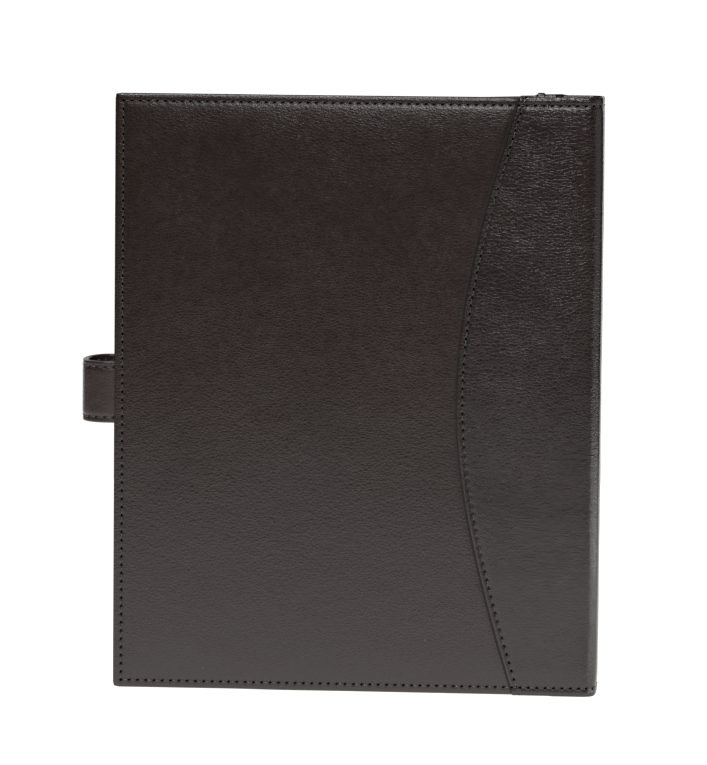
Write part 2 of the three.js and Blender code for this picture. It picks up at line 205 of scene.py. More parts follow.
def round_corner(flat, corner_x, corner_z, radius):
    """Rounds one corner of an outline: squares about the corner's centre turn into circles.

    The corner is given as a positive place at the right or the top, and as a negative one, or
    as -0.0, at the left or the bottom.
    """
    toward_x = 1 if corner_x > 0 else -1
    toward_z = 1 if corner_z > 0 else -1
    centre_x = abs(corner_x) - radius * toward_x
    centre_z = abs(corner_z) - radius * toward_z
    u, v = (flat[:, 0] - centre_x) * toward_x, (flat[:, 1] - centre_z) * toward_z
    inside = (u > 0) & (v > 0)
    scale = np.ones(len(flat))
    scale[inside] = np.maximum(u, v)[inside] / np.hypot(u, v)[inside]
    flat[:, 0] = np.where(inside, centre_x + u * scale * toward_x, flat[:, 0])
    flat[:, 1] = np.where(inside, centre_z + v * scale * toward_z, flat[:, 1])
    return flat


def lathe(profile, segments=56):
    """A turned body from [radius, height] pairs: a closed ring, or a line that ends on the axis."""
    profile = np.array(profile, float)
    ring = profile[0][0] > 1e-6
    angles = np.linspace(0, 2 * math.pi, segments, endpoint=False)
    points, rows = [], []
    for radius, height in profile:
        if radius < 1e-6:
            rows.append([len(points)] * segments)
            points.append([0, height, 0])
        else:
            rows.append(list(range(len(points), len(points) + segments)))
            points += [[radius * math.cos(t), height, radius * math.sin(t)] for t in angles]
    if ring:
        rows.append(rows[0])
    faces = []
    for low, high in zip(rows[:-1], rows[1:]):
        for i in range(segments):
            j = (i + 1) % segments
            faces.append(list(dict.fromkeys([low[i], high[i], high[j], low[j]])))
    return np.array(points, float), faces


def to_metres(points):
    return (points + ORIGIN) / 1000


def build(name, points, faces, rest, paints, marks=None, face_paint=None, flip=False):
    """A mesh object from points in millimetres. rest is where the material's grain is read."""
    if flip:
        faces = [face[::-1] for face in faces]
    mesh = bpy.data.meshes.new(name)
    mesh.from_pydata(to_metres(points).tolist(), [], faces)
    for label, values in (marks or {}).items():
        layer = mesh.attributes.new(label, "FLOAT", "POINT")
        layer.data.foreach_set("value", np.asarray(values, np.float32))
    layer = mesh.attributes.new("rest", "FLOAT_VECTOR", "POINT")
    layer.data.foreach_set("vector", np.asarray(rest, np.float32).ravel())
    for paint in paints:
        mesh.materials.append(paint)
    if face_paint is not None:
        mesh.polygons.foreach_set("material_index", np.asarray(face_paint, np.int32))
    mesh.shade_smooth()
    mesh.validate()
    mesh.update()
    piece = bpy.data.objects.new(name, mesh)
    bpy.context.scene.collection.objects.link(piece)
    return piece


def gather(parts):
    """Several (points, faces, rest) sets as one."""
    points, faces, rest, count = [], [], [], 0
    for p, f, r in parts:
        points.append(p)
        rest.append(r)
        faces += [[i + count for i in face] for face in f]
        count += len(p)
    return np.concatenate(points), faces, np.concatenate(rest)


# ---------- where flat points lie ----------
SPINE_SINK = (SOFT_EDGE + CORNER * 1.3, SOFT_EDGE + CORNER * 1.9)  # where the spine's lift sets in
FOLD_SIDE = (223, 224)  # the fold of leather behind the top edge, near the spine
FOLD_STEPS = ((0.8, 227, 228), (0.6, 236, 240))  # its rises, and where each of them ends


def wrap(flat, side):
    """Flat points of a cover, (along the leather, height, depth), laid round the spine's corner."""
    s, z, d = flat[:, 0], flat[:, 1], flat[:, 2]
    angle = np.clip((s - SOFT_EDGE) / CORNER, 0, math.pi / 2)
    beyond = np.maximum(s - SOFT_EDGE - CORNER * math.pi / 2, 0)
    x = np.where(s <= SOFT_EDGE, s, SOFT_EDGE + (CORNER - d) * np.sin(angle))
    y = np.where(s <= SOFT_EDGE, d, CORNER - (CORNER - d) * np.cos(angle) + beyond)
    short = np.clip(x - (WIDTH - CORNER_ROUND), 0, CORNER_ROUND) * (s < SPINE_MIDDLE)
    lift = CORNER_ROUND - np.sqrt(CORNER_ROUND**2 - short**2)
    lift += (SPINE_LIFT - lift) * ramp(s, *SPINE_SINK)
    lift = lift * np.exp(-np.maximum(z, 0) / LIFT_FADE)
    if side == "front":
        y = THICKNESS - y
        lift = lift - FRONT_DROP * ramp(z, HEIGHT - 60, HEIGHT) * (1 - ramp(s, 170, 245))
        first, second = (rise * (ramp(s, *FOLD_SIDE) - ramp(s, *end)) for rise, *end in FOLD_STEPS)
        lift = lift + (first + second) * ramp(z, HEIGHT - 3.6, HEIGHT - 1.5)
    return np.stack([x, y, z + lift], -1)


def grain_of(flat, side):
    """Where the leather's grain is read: the front half carries on from the back half."""
    rest = flat.copy()
    if side == "front":
        rest[:, 0] = 2 * SPINE_MIDDLE - rest[:, 0]
    return rest


# ---------- materials ----------
class Paint:
    """A material, with short names for the nodes that it is made of."""

    def __init__(self, name, **settings):
        self.material = bpy.data.materials.new(name)
        self.material.use_nodes = True
        self.tree = self.material.node_tree
        self.shader = self.tree.nodes["Principled BSDF"]
        for socket, value in settings.items():
            self.shader.inputs[socket.replace("_", " ")].default_value = value

    def node(self, kind, inputs=None, out=0, **settings):
        node = self.tree.nodes.new("ShaderNode" + kind)
        for key, value in settings.items():
            setattr(node, key, value)
        for key, value in (inputs or {}).items():
            if isinstance(value, bpy.types.NodeSocket):
                self.tree.links.new(value, node.inputs[key])
            else:
                node.inputs[key].default_value = value
        return node.outputs[out]

    def attribute(self, name, out):
        return self.node("Attribute", attribute_name=name, out=out)

    def rest(self, scale=(1, 1, 1)):
        place = self.attribute("rest", 1)
        return self.node("Mapping", {"Vector": place, "Scale": scale})

    def axes(self, place):
        return self.node("SeparateXYZ", {0: place}).node.outputs

    def math(self, operation, a, b=0.0, clamp=False):
        return self.node("Math", {0: a, 1: b}, operation=operation, use_clamp=clamp)

    def plus(self, a, b, clamp=False):
        return self.math("ADD", a, b, clamp)

    def minus(self, a, b):
        return self.math("SUBTRACT", a, b)

    def times(self, a, b):
        return self.math("MULTIPLY", a, b)

    def length(self, a, b):
        return self.math("SQRT", self.plus(self.times(a, a), self.times(b, b)))

    def span(self, value, low, high, start=0.0, end=1.0):
        inputs = {"Value": value, "From Min": low, "From Max": high, "To Min": start, "To Max": end}
        return self.node("MapRange", inputs, interpolation_type="SMOOTHSTEP")

    def noise(self, place, scale, detail=2.0, roughness=0.5, distortion=0.0):
        inputs = {"Vector": place, "Scale": scale, "Detail": detail}
        inputs |= {"Roughness": roughness, "Distortion": distortion}
        return self.node("TexNoise", inputs)

    def cells(self, place, scale, feature="F1"):
        return self.node("TexVoronoi", {"Vector": place, "Scale": scale}, feature=feature)

    def mix(self, share, a, b):
        inputs = {0: share, 6: a, 7: b}
        return self.node("Mix", inputs, data_type="RGBA", out=2)

    def shift(self, place, scale, amount):
        """The place moved about by noise, so that cells and lines wander."""
        colour = self.node("TexNoise", {"Vector": place, "Scale": scale, "Detail": 2.0}, out=1)
        centred = self.node("VectorMath", {0: colour, 1: (0.5, 0.5, 0.5)}, operation="SUBTRACT")
        scaled = self.node("VectorMath", {0: centred, 3: amount}, operation="SCALE")
        return self.node("VectorMath", {0: place, 1: scaled}, operation="ADD")

    def bump(self, height, distance, strength=1.0, below=None):
        inputs = {"Height": height, "Distance": distance / 1000, "Strength": strength}
        if below is not None:
            inputs["Normal"] = below
        return self.node("Bump", inputs)

    def finish(self, **links):
        for socket, value in links.items():
            self.tree.links.new(value, self.shader.inputs[socket.replace("_", " ")])
        return self.material


def needle_holes(p, place, sewn_on):
    """How far the nearest needle hole is, 1 at the hole's rim, and the distance from the curved seam."""
    axes = p.axes(place)
    across = p.math("ABSOLUTE", p.minus(axes[0], SPINE_MIDDLE))
    s, z = p.minus(SPINE_MIDDLE, across), axes[1]
    far = 9  # added past the end of a line, where it has no holes

    def hole(along, pitch, off):
        step = p.math("FRACT", p.plus(p.times(p.minus(along, STITCH_INSET), 1 / pitch), 0.5))
        along = p.times(p.minus(step, 0.5), pitch / HOLE_LENGTH)
        return p.length(along, p.times(off, 1 / HOLE_WIDTH))

    middle = p.minus(z, HEIGHT / 2)
    row = p.minus(p.math("ABSOLUTE", middle), HEIGHT / 2 - STITCH_INSET)
    nearest = p.plus(hole(s, PITCH_X, row), p.times(p.math("LESS_THAN", s, STITCH_INSET - 1), far))
    drop = p.times(middle, SEAM_SLOPE)
    reach = p.math("SQRT", p.plus(p.times(drop, drop), SEAM_FLAT**2))
    seam = p.minus(s, p.plus(reach, WIDTH - SEAM_REACH - SEAM_FLAT))
    lean = p.math("DIVIDE", p.times(drop, SEAM_SLOPE), reach)
    seam = p.math("DIVIDE", seam, p.math("SQRT", p.plus(p.times(lean, lean), 1)))
    if sewn_on == "main":
        side = hole(z, PITCH_Z, p.minus(s, STITCH_INSET))
        beyond = p.math("GREATER_THAN", p.math("ABSOLUTE", middle), HEIGHT / 2 - STITCH_INSET + 1)
        side = p.plus(side, p.times(beyond, far))
    else:
        side = hole(z, PITCH_Z, p.minus(seam, SEAM_STITCH))
    return p.math("MINIMUM", nearest, side), seam


def leather(
    name, dark, light, cell, depth, rough, coarse_low=1.0, contrast=0.15, ridges=0.1, sewn_on=None
):
    """Finished leather: pebbles drawn out along the hide, with mottling, dust, and paler rubbed edges.

    cell and depth are the pebbles' size and height. coarse_low is the grain's strength at the
    bottom, contrast sets the painted shade in the creases between the pebbles, and ridges raises
    them and paints a highlight on them.
    """

    def paler(times):
        return (*(times * c for c in light[:3]), 1)

    p = Paint(name, Specular_IOR_Level=0.62, Coat_Weight=0.04, Coat_Roughness=0.3)
    place = p.rest()
    drift = p.shift(place, 0.03, 9.0)
    flow = p.node("Mapping", {"Vector": drift, "Rotation": (0, 0, -0.16), "Scale": (0.6, 1.0, 0.5)})
    wander = p.shift(flow, 0.45 / cell, 0.7 * cell)
    dome = p.span(p.cells(wander, 1 / cell), 0.7, 0.1)
    crease = p.span(p.cells(wander, 1 / cell, "DISTANCE_TO_EDGE"), 0.0, 0.16)
    wrinkle = p.noise(flow, 0.42 / cell, 3.0, 0.55, 0.8)
    pebble = p.plus(p.times(dome, 0.6 - 0.4 * ridges), p.times(crease, 0.5 - 1.3 * ridges))
    pebble = p.plus(pebble, p.times(wrinkle, 0.7))
    patches = p.noise(place, 0.022, 3.0, 0.55)
    height = p.axes(place)[1]
    strength = p.times(p.span(height, 15, 190, coarse_low, 1.0), p.span(patches, 0.25, 0.7, 0.75, 1.1))
    mottle = p.noise(place, 0.16, 4.0, 0.6)
    tone = p.span(p.plus(p.times(patches, 0.75), p.times(mottle, 0.25)), 0.2, 0.8)
    colour = p.mix(tone, dark, light)
    # painted shade: the creases between the pebbles are darkened towards black
    crease_shade = p.times(p.minus(1.0, crease), p.times(strength, contrast))
    colour = p.mix(crease_shade, colour, (0.003, 0.0025, 0.002, 1))
    # painted highlight: the ridges between the pebbles are lightened
    line = p.times(p.minus(1.0, crease), p.times(strength, 0.5 * ridges))
    colour = p.mix(line, colour, paler(2.4))
    rub = p.times(p.attribute("rub", 2), p.span(mottle, 0.35, 0.65, 0.3, 1.0))
    scuff = p.span(p.noise(p.rest((0.5, 0.07, 0.5)), 0.5, 5.0, 0.65), 0.66, 0.8)
    colour = p.mix(p.times(scuff, 0.3), colour, paler(2.4))
    colour = p.mix(p.times(rub, 0.35), colour, paler(1.9))
    # painted shade: the needle holes are painted near black, and made metallic so that they reflect nothing
    stitch_shade = p.attribute("stitch_shade", 2)
    if sewn_on:
        nearest, seam = needle_holes(p, place, sewn_on)
        stitch_shade = p.math("MAXIMUM", stitch_shade, p.span(nearest, 1.2, 0.8))
        if sewn_on == "main":
            # painted shade on the main panel along the spine panel's folded edge, where the fold's shadow
            # falls
            shade = p.span(p.math("ABSOLUTE", p.plus(seam, 0.25)), 1.0, 0.35)
            stitch_shade = p.math("MAXIMUM", stitch_shade, p.times(shade, 0.45))
    colour = p.mix(stitch_shade, colour, (0.001, 0.0008, 0.0006, 1))
    speck = p.span(p.cells(place, 0.07), 0.024, 0.016)
    colour = p.mix(p.times(speck, 0.5), colour, (0.20, 0.19, 0.18, 1))
    rough = p.span(mottle, 0.3, 0.7, rough - 0.015, rough + 0.02)
    rough = p.plus(rough, p.times(crease_shade, 0.45))
    rough = p.plus(rough, p.times(stitch_shade, 0.7), True)
    soft = p.bump(p.noise(place, 0.12, 2.0), 0.14, 0.5)
    relief = p.minus(p.times(pebble, strength), p.times(stitch_shade, 0.2 / depth))
    normal = p.bump(relief, depth, 1.0, soft)
    return p.finish(Base_Color=colour, Roughness=rough, Metallic=stitch_shade, Normal=normal)


def thread_paint(name, dark, light):
    """Twisted, waxed thread, its strands painted darker in the grooves between them and lighter on their
    crests: painted shade and highlight.
    """
    p = Paint(name, Specular_IOR_Level=0.9, Roughness=0.2)
    place = p.rest()
    axes = p.axes(place)
    twist = p.plus(p.times(axes[0], 4.6), axes[1])
    strand = p.plus(p.times(p.math("SINE", p.times(twist, 3.0)), 0.5), 0.5)
    fibre = p.noise(place, 6.0, 3.0)
    # painted shade and highlight: darker in the grooves between the strands, lighter on their crests
    colour = p.mix(p.times(strand, p.span(fibre, 0.2, 0.8, 0.5, 1.0)), dark, light)
    height = p.plus(strand, p.times(fibre, 0.4))
    return p.finish(Base_Color=colour, Normal=p.bump(height, 0.02))


def weave_paint(name, dark, light, thread, rough=0.8):
    """Plain-woven cloth: threads over and under in both directions."""
    p = Paint(name, Roughness=rough, Specular_IOR_Level=0.3, Sheen_Weight=0.15)
    place = p.rest()
    axes = p.axes(place)
    turn = 2 * math.pi / thread
    warp = p.math("SINE", p.times(axes[0], turn))
    weft = p.math("SINE", p.times(axes[1], turn))
    cloth = p.plus(p.times(p.times(warp, weft), 0.5), 0.5)
    slub = p.noise(p.rest((0.15, 1.5, 1)), 1.2, 3.0)
    patches = p.noise(place, 0.05, 3.0)
    tone = p.plus(p.times(cloth, 0.35), p.times(slub, 0.4))
    tone = p.span(p.plus(tone, p.times(patches, 0.35)), 0.2, 0.85)
    height = p.plus(cloth, p.times(slub, 0.5))
    return p.finish(Base_Color=p.mix(tone, dark, light), Normal=p.bump(height, 0.09))


def board_paint(name):
    """Grey chipboard with fibres and flecks."""
    p = Paint(name, Roughness=0.9, Specular_IOR_Level=0.2)
    place = p.rest()
    fibre = p.noise(p.rest((0.5, 2.0, 6.0)), 1.3, 5.0, 0.65)
    fleck = p.span(p.cells(place, 0.7), 0.14, 0.08)
    colour = p.mix(p.span(fibre, 0.3, 0.7), (0.20, 0.175, 0.145, 1), (0.33, 0.30, 0.26, 1))
    colour = p.mix(p.times(fleck, 0.5), colour, (0.10, 0.08, 0.06, 1))
    return p.finish(Base_Color=colour, Normal=p.bump(fibre, 0.06))


MARGIN_AT = 44.0


def paper_paint(name, top_line, pitch, face):
    """Ruled paper: pale blue lines and a margin on the top sheet, leaves at the sides, with painted shade
    in the gaps between the leaves.
    """
    p = Paint(name, Roughness=0.75, Specular_IOR_Level=0.3)
    place = p.rest()
    x, z, depth = p.axes(place)
    row = p.math("FRACT", p.times(p.minus(z, top_line), 1 / pitch))
    off = p.math("ABSOLUTE", p.minus(row, 0.5))
    on_face = p.times(
        p.span(depth, face - 0.08, face - 0.03), p.span(z, top_line + 1, top_line + 0.5)
    )
    rule = p.times(p.span(off, 0.5 - 0.16 / pitch, 0.5 - 0.06 / pitch), on_face)
    margin = p.times(p.span(p.math("ABSOLUTE", p.minus(x, MARGIN_AT)), 0.22, 0.12), on_face)
    fibre = p.noise(place, 0.9, 4.0, 0.6)
    colour = p.mix(p.span(fibre, 0.3, 0.7), (0.76, 0.75, 0.71, 1), (0.83, 0.82, 0.785, 1))
    leaves = p.noise(p.rest((0.02, 0.02, 9.0)), 1.0, 2.0)
    # painted shade in the gaps between the leaves on the block's sides
    side = p.span(depth, face - 0.03, face - 0.1)
    gap = p.times(p.span(leaves, 0.35, 0.65), p.times(side, 0.35))
    colour = p.mix(gap, colour, (0.42, 0.41, 0.38, 1))
    colour = p.mix(p.times(rule, 0.7), colour, (0.30, 0.45, 0.62, 1))
    colour = p.mix(p.times(margin, 0.7), colour, (0.62, 0.22, 0.24, 1))
    return p.finish(Base_Color=colour, Normal=p.bump(p.plus(fibre, leaves), 0.03))


def metal_paint(name):
    """Dark nickel with fine scratches and a duller tarnish in patches."""
    p = Paint(name, Metallic=1.0)
    place = p.rest()
    tarnish = p.noise(place, 0.5, 4.0, 0.6)
    scratch = p.noise(p.rest((0.4, 6.0, 0.4)), 2.5, 3.0, 0.7)
    colour = p.mix(p.span(tarnish, 0.35, 0.7), (0.46, 0.43, 0.39, 1), (0.26, 0.24, 0.22, 1))
    worn = p.plus(p.times(tarnish, 0.6), p.times(scratch, 0.4))
    rough = p.span(worn, 0.3, 0.7, 0.22, 0.42)
    return p.finish(Base_Color=colour, Roughness=rough, Normal=p.bump(scratch, 0.012))


def film_paint(name):
    """Clear film, a little hazy."""
    clear = (0.93, 0.94, 0.94, 1)
    p = Paint(name, IOR=1.46, Transmission_Weight=1.0, Specular_IOR_Level=0.5, Base_Color=clear)
    haze = p.noise(p.rest(), 0.35, 4.0, 0.6)
    return p.finish(Roughness=p.span(haze, 0.3, 0.75, 0.06, 0.2), Normal=p.bump(haze, 0.1))


PANEL = leather(
    "panel leather",
    (0.0176, 0.0093, 0.0070, 1),
    (0.0210, 0.0112, 0.0086, 1),
    cell=1.4, depth=0.037, rough=0.22, sewn_on="main",
)
SPINE = leather(
    "spine leather",
    (0.0130, 0.0080, 0.0066, 1),
    (0.0172, 0.0108, 0.0090, 1),
    cell=1.6, depth=0.080, rough=0.22, coarse_low=0.45, contrast=0.0, ridges=0.72, sewn_on="spine",
)
STRAP = leather(
    "strap leather", (0.026, 0.0158, 0.0134, 1), (0.037, 0.0222, 0.0190, 1), 0.9, 0.04, 0.27
)
THREAD = thread_paint("thread", (0.012, 0.0100, 0.0090, 1), (0.085, 0.074, 0.067, 1))
INSIDE = leather(
    "inner leather", (0.020, 0.0135, 0.0118, 1), (0.030, 0.0200, 0.0172, 1), 0.9, 0.07, 0.40
)
LINING = weave_paint("lining", (0.010, 0.0088, 0.0082, 1), (0.021, 0.0185, 0.017, 1), 0.62)
TAPE = weave_paint("pad tape", (0.010, 0.012, 0.018, 1), (0.020, 0.024, 0.034, 1), 0.5, 0.6)
CHIPBOARD = board_paint("board")
METAL = metal_paint("snap metal")
FILM = film_paint("window film")


# ---------- the faces of a cover ----------
def edge_distance(x, z):
    return np.minimum(np.minimum(x, z), HEIGHT - z)


def line_holes(x, z):
    """Needle holes of the line of stitching along the top and the bottom."""
    rows = np.minimum(np.abs(z - STITCH_INSET), np.abs(z - HEIGHT + STITCH_INSET))
    return dimple(from_hole(x, PITCH_X), rows)


def main_face(x, z, seed):
    """Depth of the main panel's face, and its needle holes."""
    edge = edge_distance(x, z)
    side = dimple(from_hole(z, PITCH_Z), x - STITCH_INSET)
    between = (z > STITCH_INSET - 1) & (z < HEIGHT - STITCH_INSET + 1)
    hole = np.maximum(line_holes(x, z) * (x > STITCH_INSET - 1), side * between)
    start, run_x, run_z = 3, 13, 10  # the padding swells from here, over these runs
    beside = 1 - np.exp(-np.maximum(x - start, 0) / run_x)
    low = 1 - np.exp(-np.maximum(z - start, 0) / run_z)
    above = low * (1 - np.exp(-np.maximum(HEIGHT - z - start, 0) / run_z))
    depth = PANEL_DEPTH - 0.25 + 0.7 * (1 - beside) + 1.1 * (1 - above) * (0.3 + 0.7 * beside)
    depth += 0.3 * bell((x - seam_x(z)) * seam_cos(z), 2.0)
    depth += 0.12 * bell(edge - STITCH_INSET, 1.25) + HOLE_DEPTH * hole
    depth += 0.10 * lumps(x, z, 47, seed) + 0.02 * lumps(x, z, 13, seed + 1)
    return depth, hole


def roll_over(s):
    """The spine's leather sinks towards its soft corner, and comes back out round it."""
    run, back = 16, CORNER * math.pi / 2
    sunk = np.clip((s - SOFT_EDGE + run) / run, 0, 1) ** 2
    t = np.clip((s - SOFT_EDGE) / back, 0, 1)
    return sunk * (2 * t**3 - 3 * t**2 + 1) + 2 * back / run * (t**3 - 2 * t**2 + t)


def spine_face(s, z, seed):
    """Depth of the spine panel's face, and its needle holes."""
    off = (s - seam_x(z)) * seam_cos(z)
    edge = np.minimum(z, HEIGHT - z)
    seam_hole = dimple(from_hole(z, PITCH_Z), off - SEAM_STITCH, 0.35)
    hole = np.maximum(line_holes(s, z), seam_hole)
    depth = 0.12 + 0.24 * (1 - ramp(edge, STITCH_INSET - 0.5, 15))
    depth -= 0.10 * bell(off - 1.3, 1.0)  # the edge's bead, before its valley of stitches
    valley = np.maximum(bell(edge - STITCH_INSET, 1.2), bell(off - SEAM_STITCH, 0.95))
    depth += 0.30 * valley + HOLE_DEPTH * hole
    low = 0.45 + 0.55 * ramp(HEIGHT - z, 90, 260)
    away = ramp(edge, 3, 16)
    past_board = ramp(s, BOARD_EDGE - 2, BOARD_EDGE + 6) * (1 - ramp(s, SOFT_EDGE + 1, SOFT_EDGE + 10))
    depth -= 0.08 * low * away * bell(s - BOARD_EDGE + 1.5, 2.4)
    depth += 0.12 * low * away * past_board
    depth += 0.85 * ramp(edge, -4, 36) * roll_over(s)
    depth += 0.10 * lumps(s, z, 23, seed) + 0.05 * lumps(s, z, 6, seed + 1, 2.2)
    return depth, hole


def hole_shade(hole, count):
    """Painted shade of a plate's points: dark in the needle holes of its front."""
    marks = np.zeros(count)
    marks[: hole.size] = np.minimum(1.5 * hole.ravel(), 1)
    return marks


SEEDS = {"back": 11, "front": 211}


def surface(s, z, side):
    """Depth of the cover's outer face under a stitch, without the needle holes."""
    seed = SEEDS[side]
    face, hole = main_face(s, z, seed)
    over, over_hole = spine_face(s, z, seed + 40)
    on_spine = s > seam_x(z)
    return np.where(on_spine, over - HOLE_DEPTH * over_hole, face - HOLE_DEPTH * hole)


def cover_piece(name, side, flat, faces, paints, rest=None, **more):
    """A piece laid out flat and wrapped round a cover; on the front one its faces turn round."""
    rest = grain_of(flat, side) if rest is None else rest
    return build(name, wrap(flat, side), faces, rest, paints, flip=side == "front", **more)


def stitch_rows(rim, second):
    """Heights of a face's rows: two at each end, and between them rows that meet every needle hole."""
    rows = STITCH_INSET + STEP_Z * np.arange(STEPS * STITCHES_UP + 1)
    return np.concatenate([[rim, second], rows, [HEIGHT - second, HEIGHT - rim]])


def main_panel(side):
    seed, columns = SEEDS[side], 197
    short = 0.4  # the panel ends inside the outline at its top and bottom
    xs = np.concatenate([[ROLL, 3.4], STITCH_INSET + STEP_X * np.arange(columns)])
    x, z = grid(xs, stitch_rows(ROLL + short, 3.5))
    front, hole = main_face(x, z, seed)
    front += 2.6 * ramp(x, seam_x(z) + 4, seam_x(z) + 9)  # it dives under the spine panel
    back = np.full_like(front, TURNED_DEPTH - 0.05)
    rims = (ROLL, 0, ROLL, ROLL)
    flat, faces, near = plate(x, z, front, back, rims, 10, FULL_EDGE, closed=False)
    flat[:, 1] += 0.12 * lumps(flat[:, 0], flat[:, 1], 31, seed + 5) * near
    flat = round_corner(flat, -0.0, -short, 2.0)
    flat = round_corner(flat, -0.0, HEIGHT - short, 1.6)
    marks = {"stitch_shade": hole_shade(hole, len(flat)), "rub": near}
    piece = cover_piece(f"{side}_cover_leather", side, flat, faces, [PANEL], marks=marks)
    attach(piece, f"{side}_cover")
    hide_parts(f"{side}_main_panel", f"{side}_foam", f"{side}_board")


def spine_half(side):
    """The spine panel and half of the spine's leather: columns along the curved edge, then upright ones."""
    zs, rim = stitch_rows(ROLL, 3.4), 0.45
    offsets = np.array([rim, 0.8, 1.3, 2.0, 3.0, 3.9, 5.0, 6.2, 7.3, 8.5])
    curved = seam_x(zs) + offsets[:, None] / seam_cos(zs)
    start = curved[-1]
    first = STITCH_INSET + STEP_X * math.ceil((BOARD_EDGE - STITCH_INSET) / STEP_X)
    between = 38
    shares = np.arange(1, between + 1)[:, None] / (between + 1)
    middle = start + (first - start) * shares
    upright = np.append(np.arange(first, SPINE_MIDDLE - 0.3, STEP_X), SPINE_MIDDLE)
    x = np.concatenate([curved, middle, np.repeat(upright[:, None], len(zs), 1)])
    z = np.repeat(zs[None, :], len(x), 0)
    front, hole = spine_face(x, z, SEEDS[side] + 40)
    back = TURNED_DEPTH + (SOFT_DEPTH - TURNED_DEPTH) * ramp(x, BOARD_EDGE, BOARD_EDGE + 3)
    flat, faces, near = plate(x, z, front, back, (rim, 0, ROLL, ROLL), 8, FULL_EDGE)
    marks = {"stitch_shade": hole_shade(hole, len(flat)), "rub": near}
    piece = cover_piece(f"{side}_spine_leather", side, flat, faces, [SPINE], marks=marks)
    bend(piece, side)
    nodes = [f"{side}_spine_panel", f"{side}_corner_leather"]
    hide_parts(*nodes, *(["spine_leather", "spine_stiffener"] if side == "back" else []))


def bend(piece, side):
    """Bakes the piece's transform into its mesh; the points worked out on the soft corner and the spine are
    not used.
    """
    on_cover = to_metres(np.array([SOFT_EDGE, 0, 0]))
    on_spine = to_metres(np.array([WIDTH, CORNER, 0]))
    if side == "back":
        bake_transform(piece)
    else:
        on_cover[1] = (THICKNESS + ORIGIN[1]) / 1000
        on_spine[1] = (THICKNESS - CORNER + ORIGIN[1]) / 1000
        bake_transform(piece)


# ---------- stitching ----------
THREAD_RADIUS = 0.25
FINE_RADIUS = 0.22  # for the card pockets, the window and the pen loop
FINE_PITCH = 2.9
STITCH_SLANT = 0.13
STITCH_SHARES = np.array([0.12, 0.18, 0.25, 0.4, 0.6, 0.75, 0.82, 0.88])  # places along a stitch
STITCH_RISE = np.array([-1.1, -0.45, 0.12, 0.28, 0.28, 0.12, -0.45, -1.1])  # and its height there
STITCH_THICK = np.array([0.8, 0.95, 1, 1.04, 1.04, 1, 0.95, 0.8])


def stitches(start, end, depth, seed, radius=THREAD_RADIUS):
    """One thread tube from each start hole to its end hole, in flat points, on a surface of this depth."""
    sides = 7
    rng = np.random.default_rng(seed)
    parts = []
    turn = np.linspace(0, 2 * math.pi, sides, endpoint=False)
    for a, b, d in zip(start, end, depth):
        along = b - a
        length = np.hypot(*along)
        ahead = along / length
        across = np.array([-ahead[1], ahead[0]])
        lean = STITCH_SLANT * (1 + 0.5 * rng.uniform(-1, 1))
        high = 1 + 0.25 * rng.uniform(-1, 1)
        sideways = (lean * length * (0.5 - STITCH_SHARES))[:, None]
        centre = a + along * STITCH_SHARES[:, None] + across * sideways
        rise = STITCH_RISE * np.where(STITCH_RISE > 0, high, 1)
        thick = radius * (1 + 0.06 * rng.uniform(-1, 1)) * STITCH_THICK
        tilt = np.gradient(rise, STITCH_SHARES * length)
        ring = []
        for k in range(len(centre)):
            up = np.array([*(-ahead * tilt[k]), 1.0]) / math.hypot(1, tilt[k])
            side = np.array([*across, 0.0])
            middle = np.array([*centre[k], rise[k]])
            spokes = np.cos(turn)[:, None] * side + np.sin(turn)[:, None] * up
            ring.append(middle + thick[k] * spokes)
        points = np.concatenate(ring)
        points[:, 2] = d - points[:, 2]
        faces = []
        for k in range(len(centre) - 1):
            low, high_row = k * sides, (k + 1) * sides
            for i in range(sides):
                j = (i + 1) % sides
                faces.append([low + i, high_row + i, high_row + j, low + j])
        faces.append(list(range(sides)))
        faces.append(list(range(len(points) - sides, len(points)))[::-1])
        run = np.repeat(STITCH_SHARES * length, sides) + rng.uniform(0, 50)
        level = np.full(len(points), rng.uniform(0, 50))
        parts.append((points, faces, np.stack([run, np.tile(turn, len(centre)), level], -1)))
    return gather(parts)


def edge_stitching(side):
    """The lines along the top, the bottom and the free edge."""
    holes = STITCH_INSET + PITCH_X * np.arange(math.ceil(STITCHES_ACROSS) + 1)
    uprights = STITCH_INSET + PITCH_Z * np.arange(STITCHES_UP + 1)
    lines = [[[x, z] for x in holes] for z in (STITCH_INSET, HEIGHT - STITCH_INSET)]
    lines.append([[STITCH_INSET, z] for z in uprights])
    starts = np.concatenate([points[:-1] for points in lines])
    ends = np.concatenate([points[1:] for points in lines])
    if side == "front":  # the stitch across the spine's middle is the back cover's
        keep = ends[:, 0] < SPINE_MIDDLE
        starts, ends = starts[keep], ends[keep]
    piece = cover_thread(f"{side}_edge_thread", side, starts, ends, SEEDS[side] + 7)
    bend(piece, side)
    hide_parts(f"{side}_edge_stitching")


def cover_thread(name, side, starts, ends, seed):
    """Stitches on a cover's outer face."""
    middle = (starts + ends) / 2
    depth = surface(middle[:, 0], middle[:, 1], side)
    points, faces, rest = stitches(starts, ends, depth, seed)
    return cover_piece(name, side, points, faces, [THREAD], rest)


def seam_stitching(side):
    past = 0.62  # the line runs this share of a stitch past the corners
    z = STITCH_INSET + PITCH_Z * np.array([-past, *range(STITCHES_UP + 1), STITCHES_UP + past])
    line = np.stack([seam_x(z) + SEAM_STITCH / seam_cos(z), z], -1)
    piece = cover_thread(f"{side}_seam_thread", side, line[:-1], line[1:], SEEDS[side] + 9)
    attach(piece, f"{side}_cover")
    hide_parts(f"{side}_seam_stitching")


for cover in ("back", "front"):
    main_panel(cover)
    spine_half(cover)
    edge_stitching(cover)
    seam_stitching(cover)

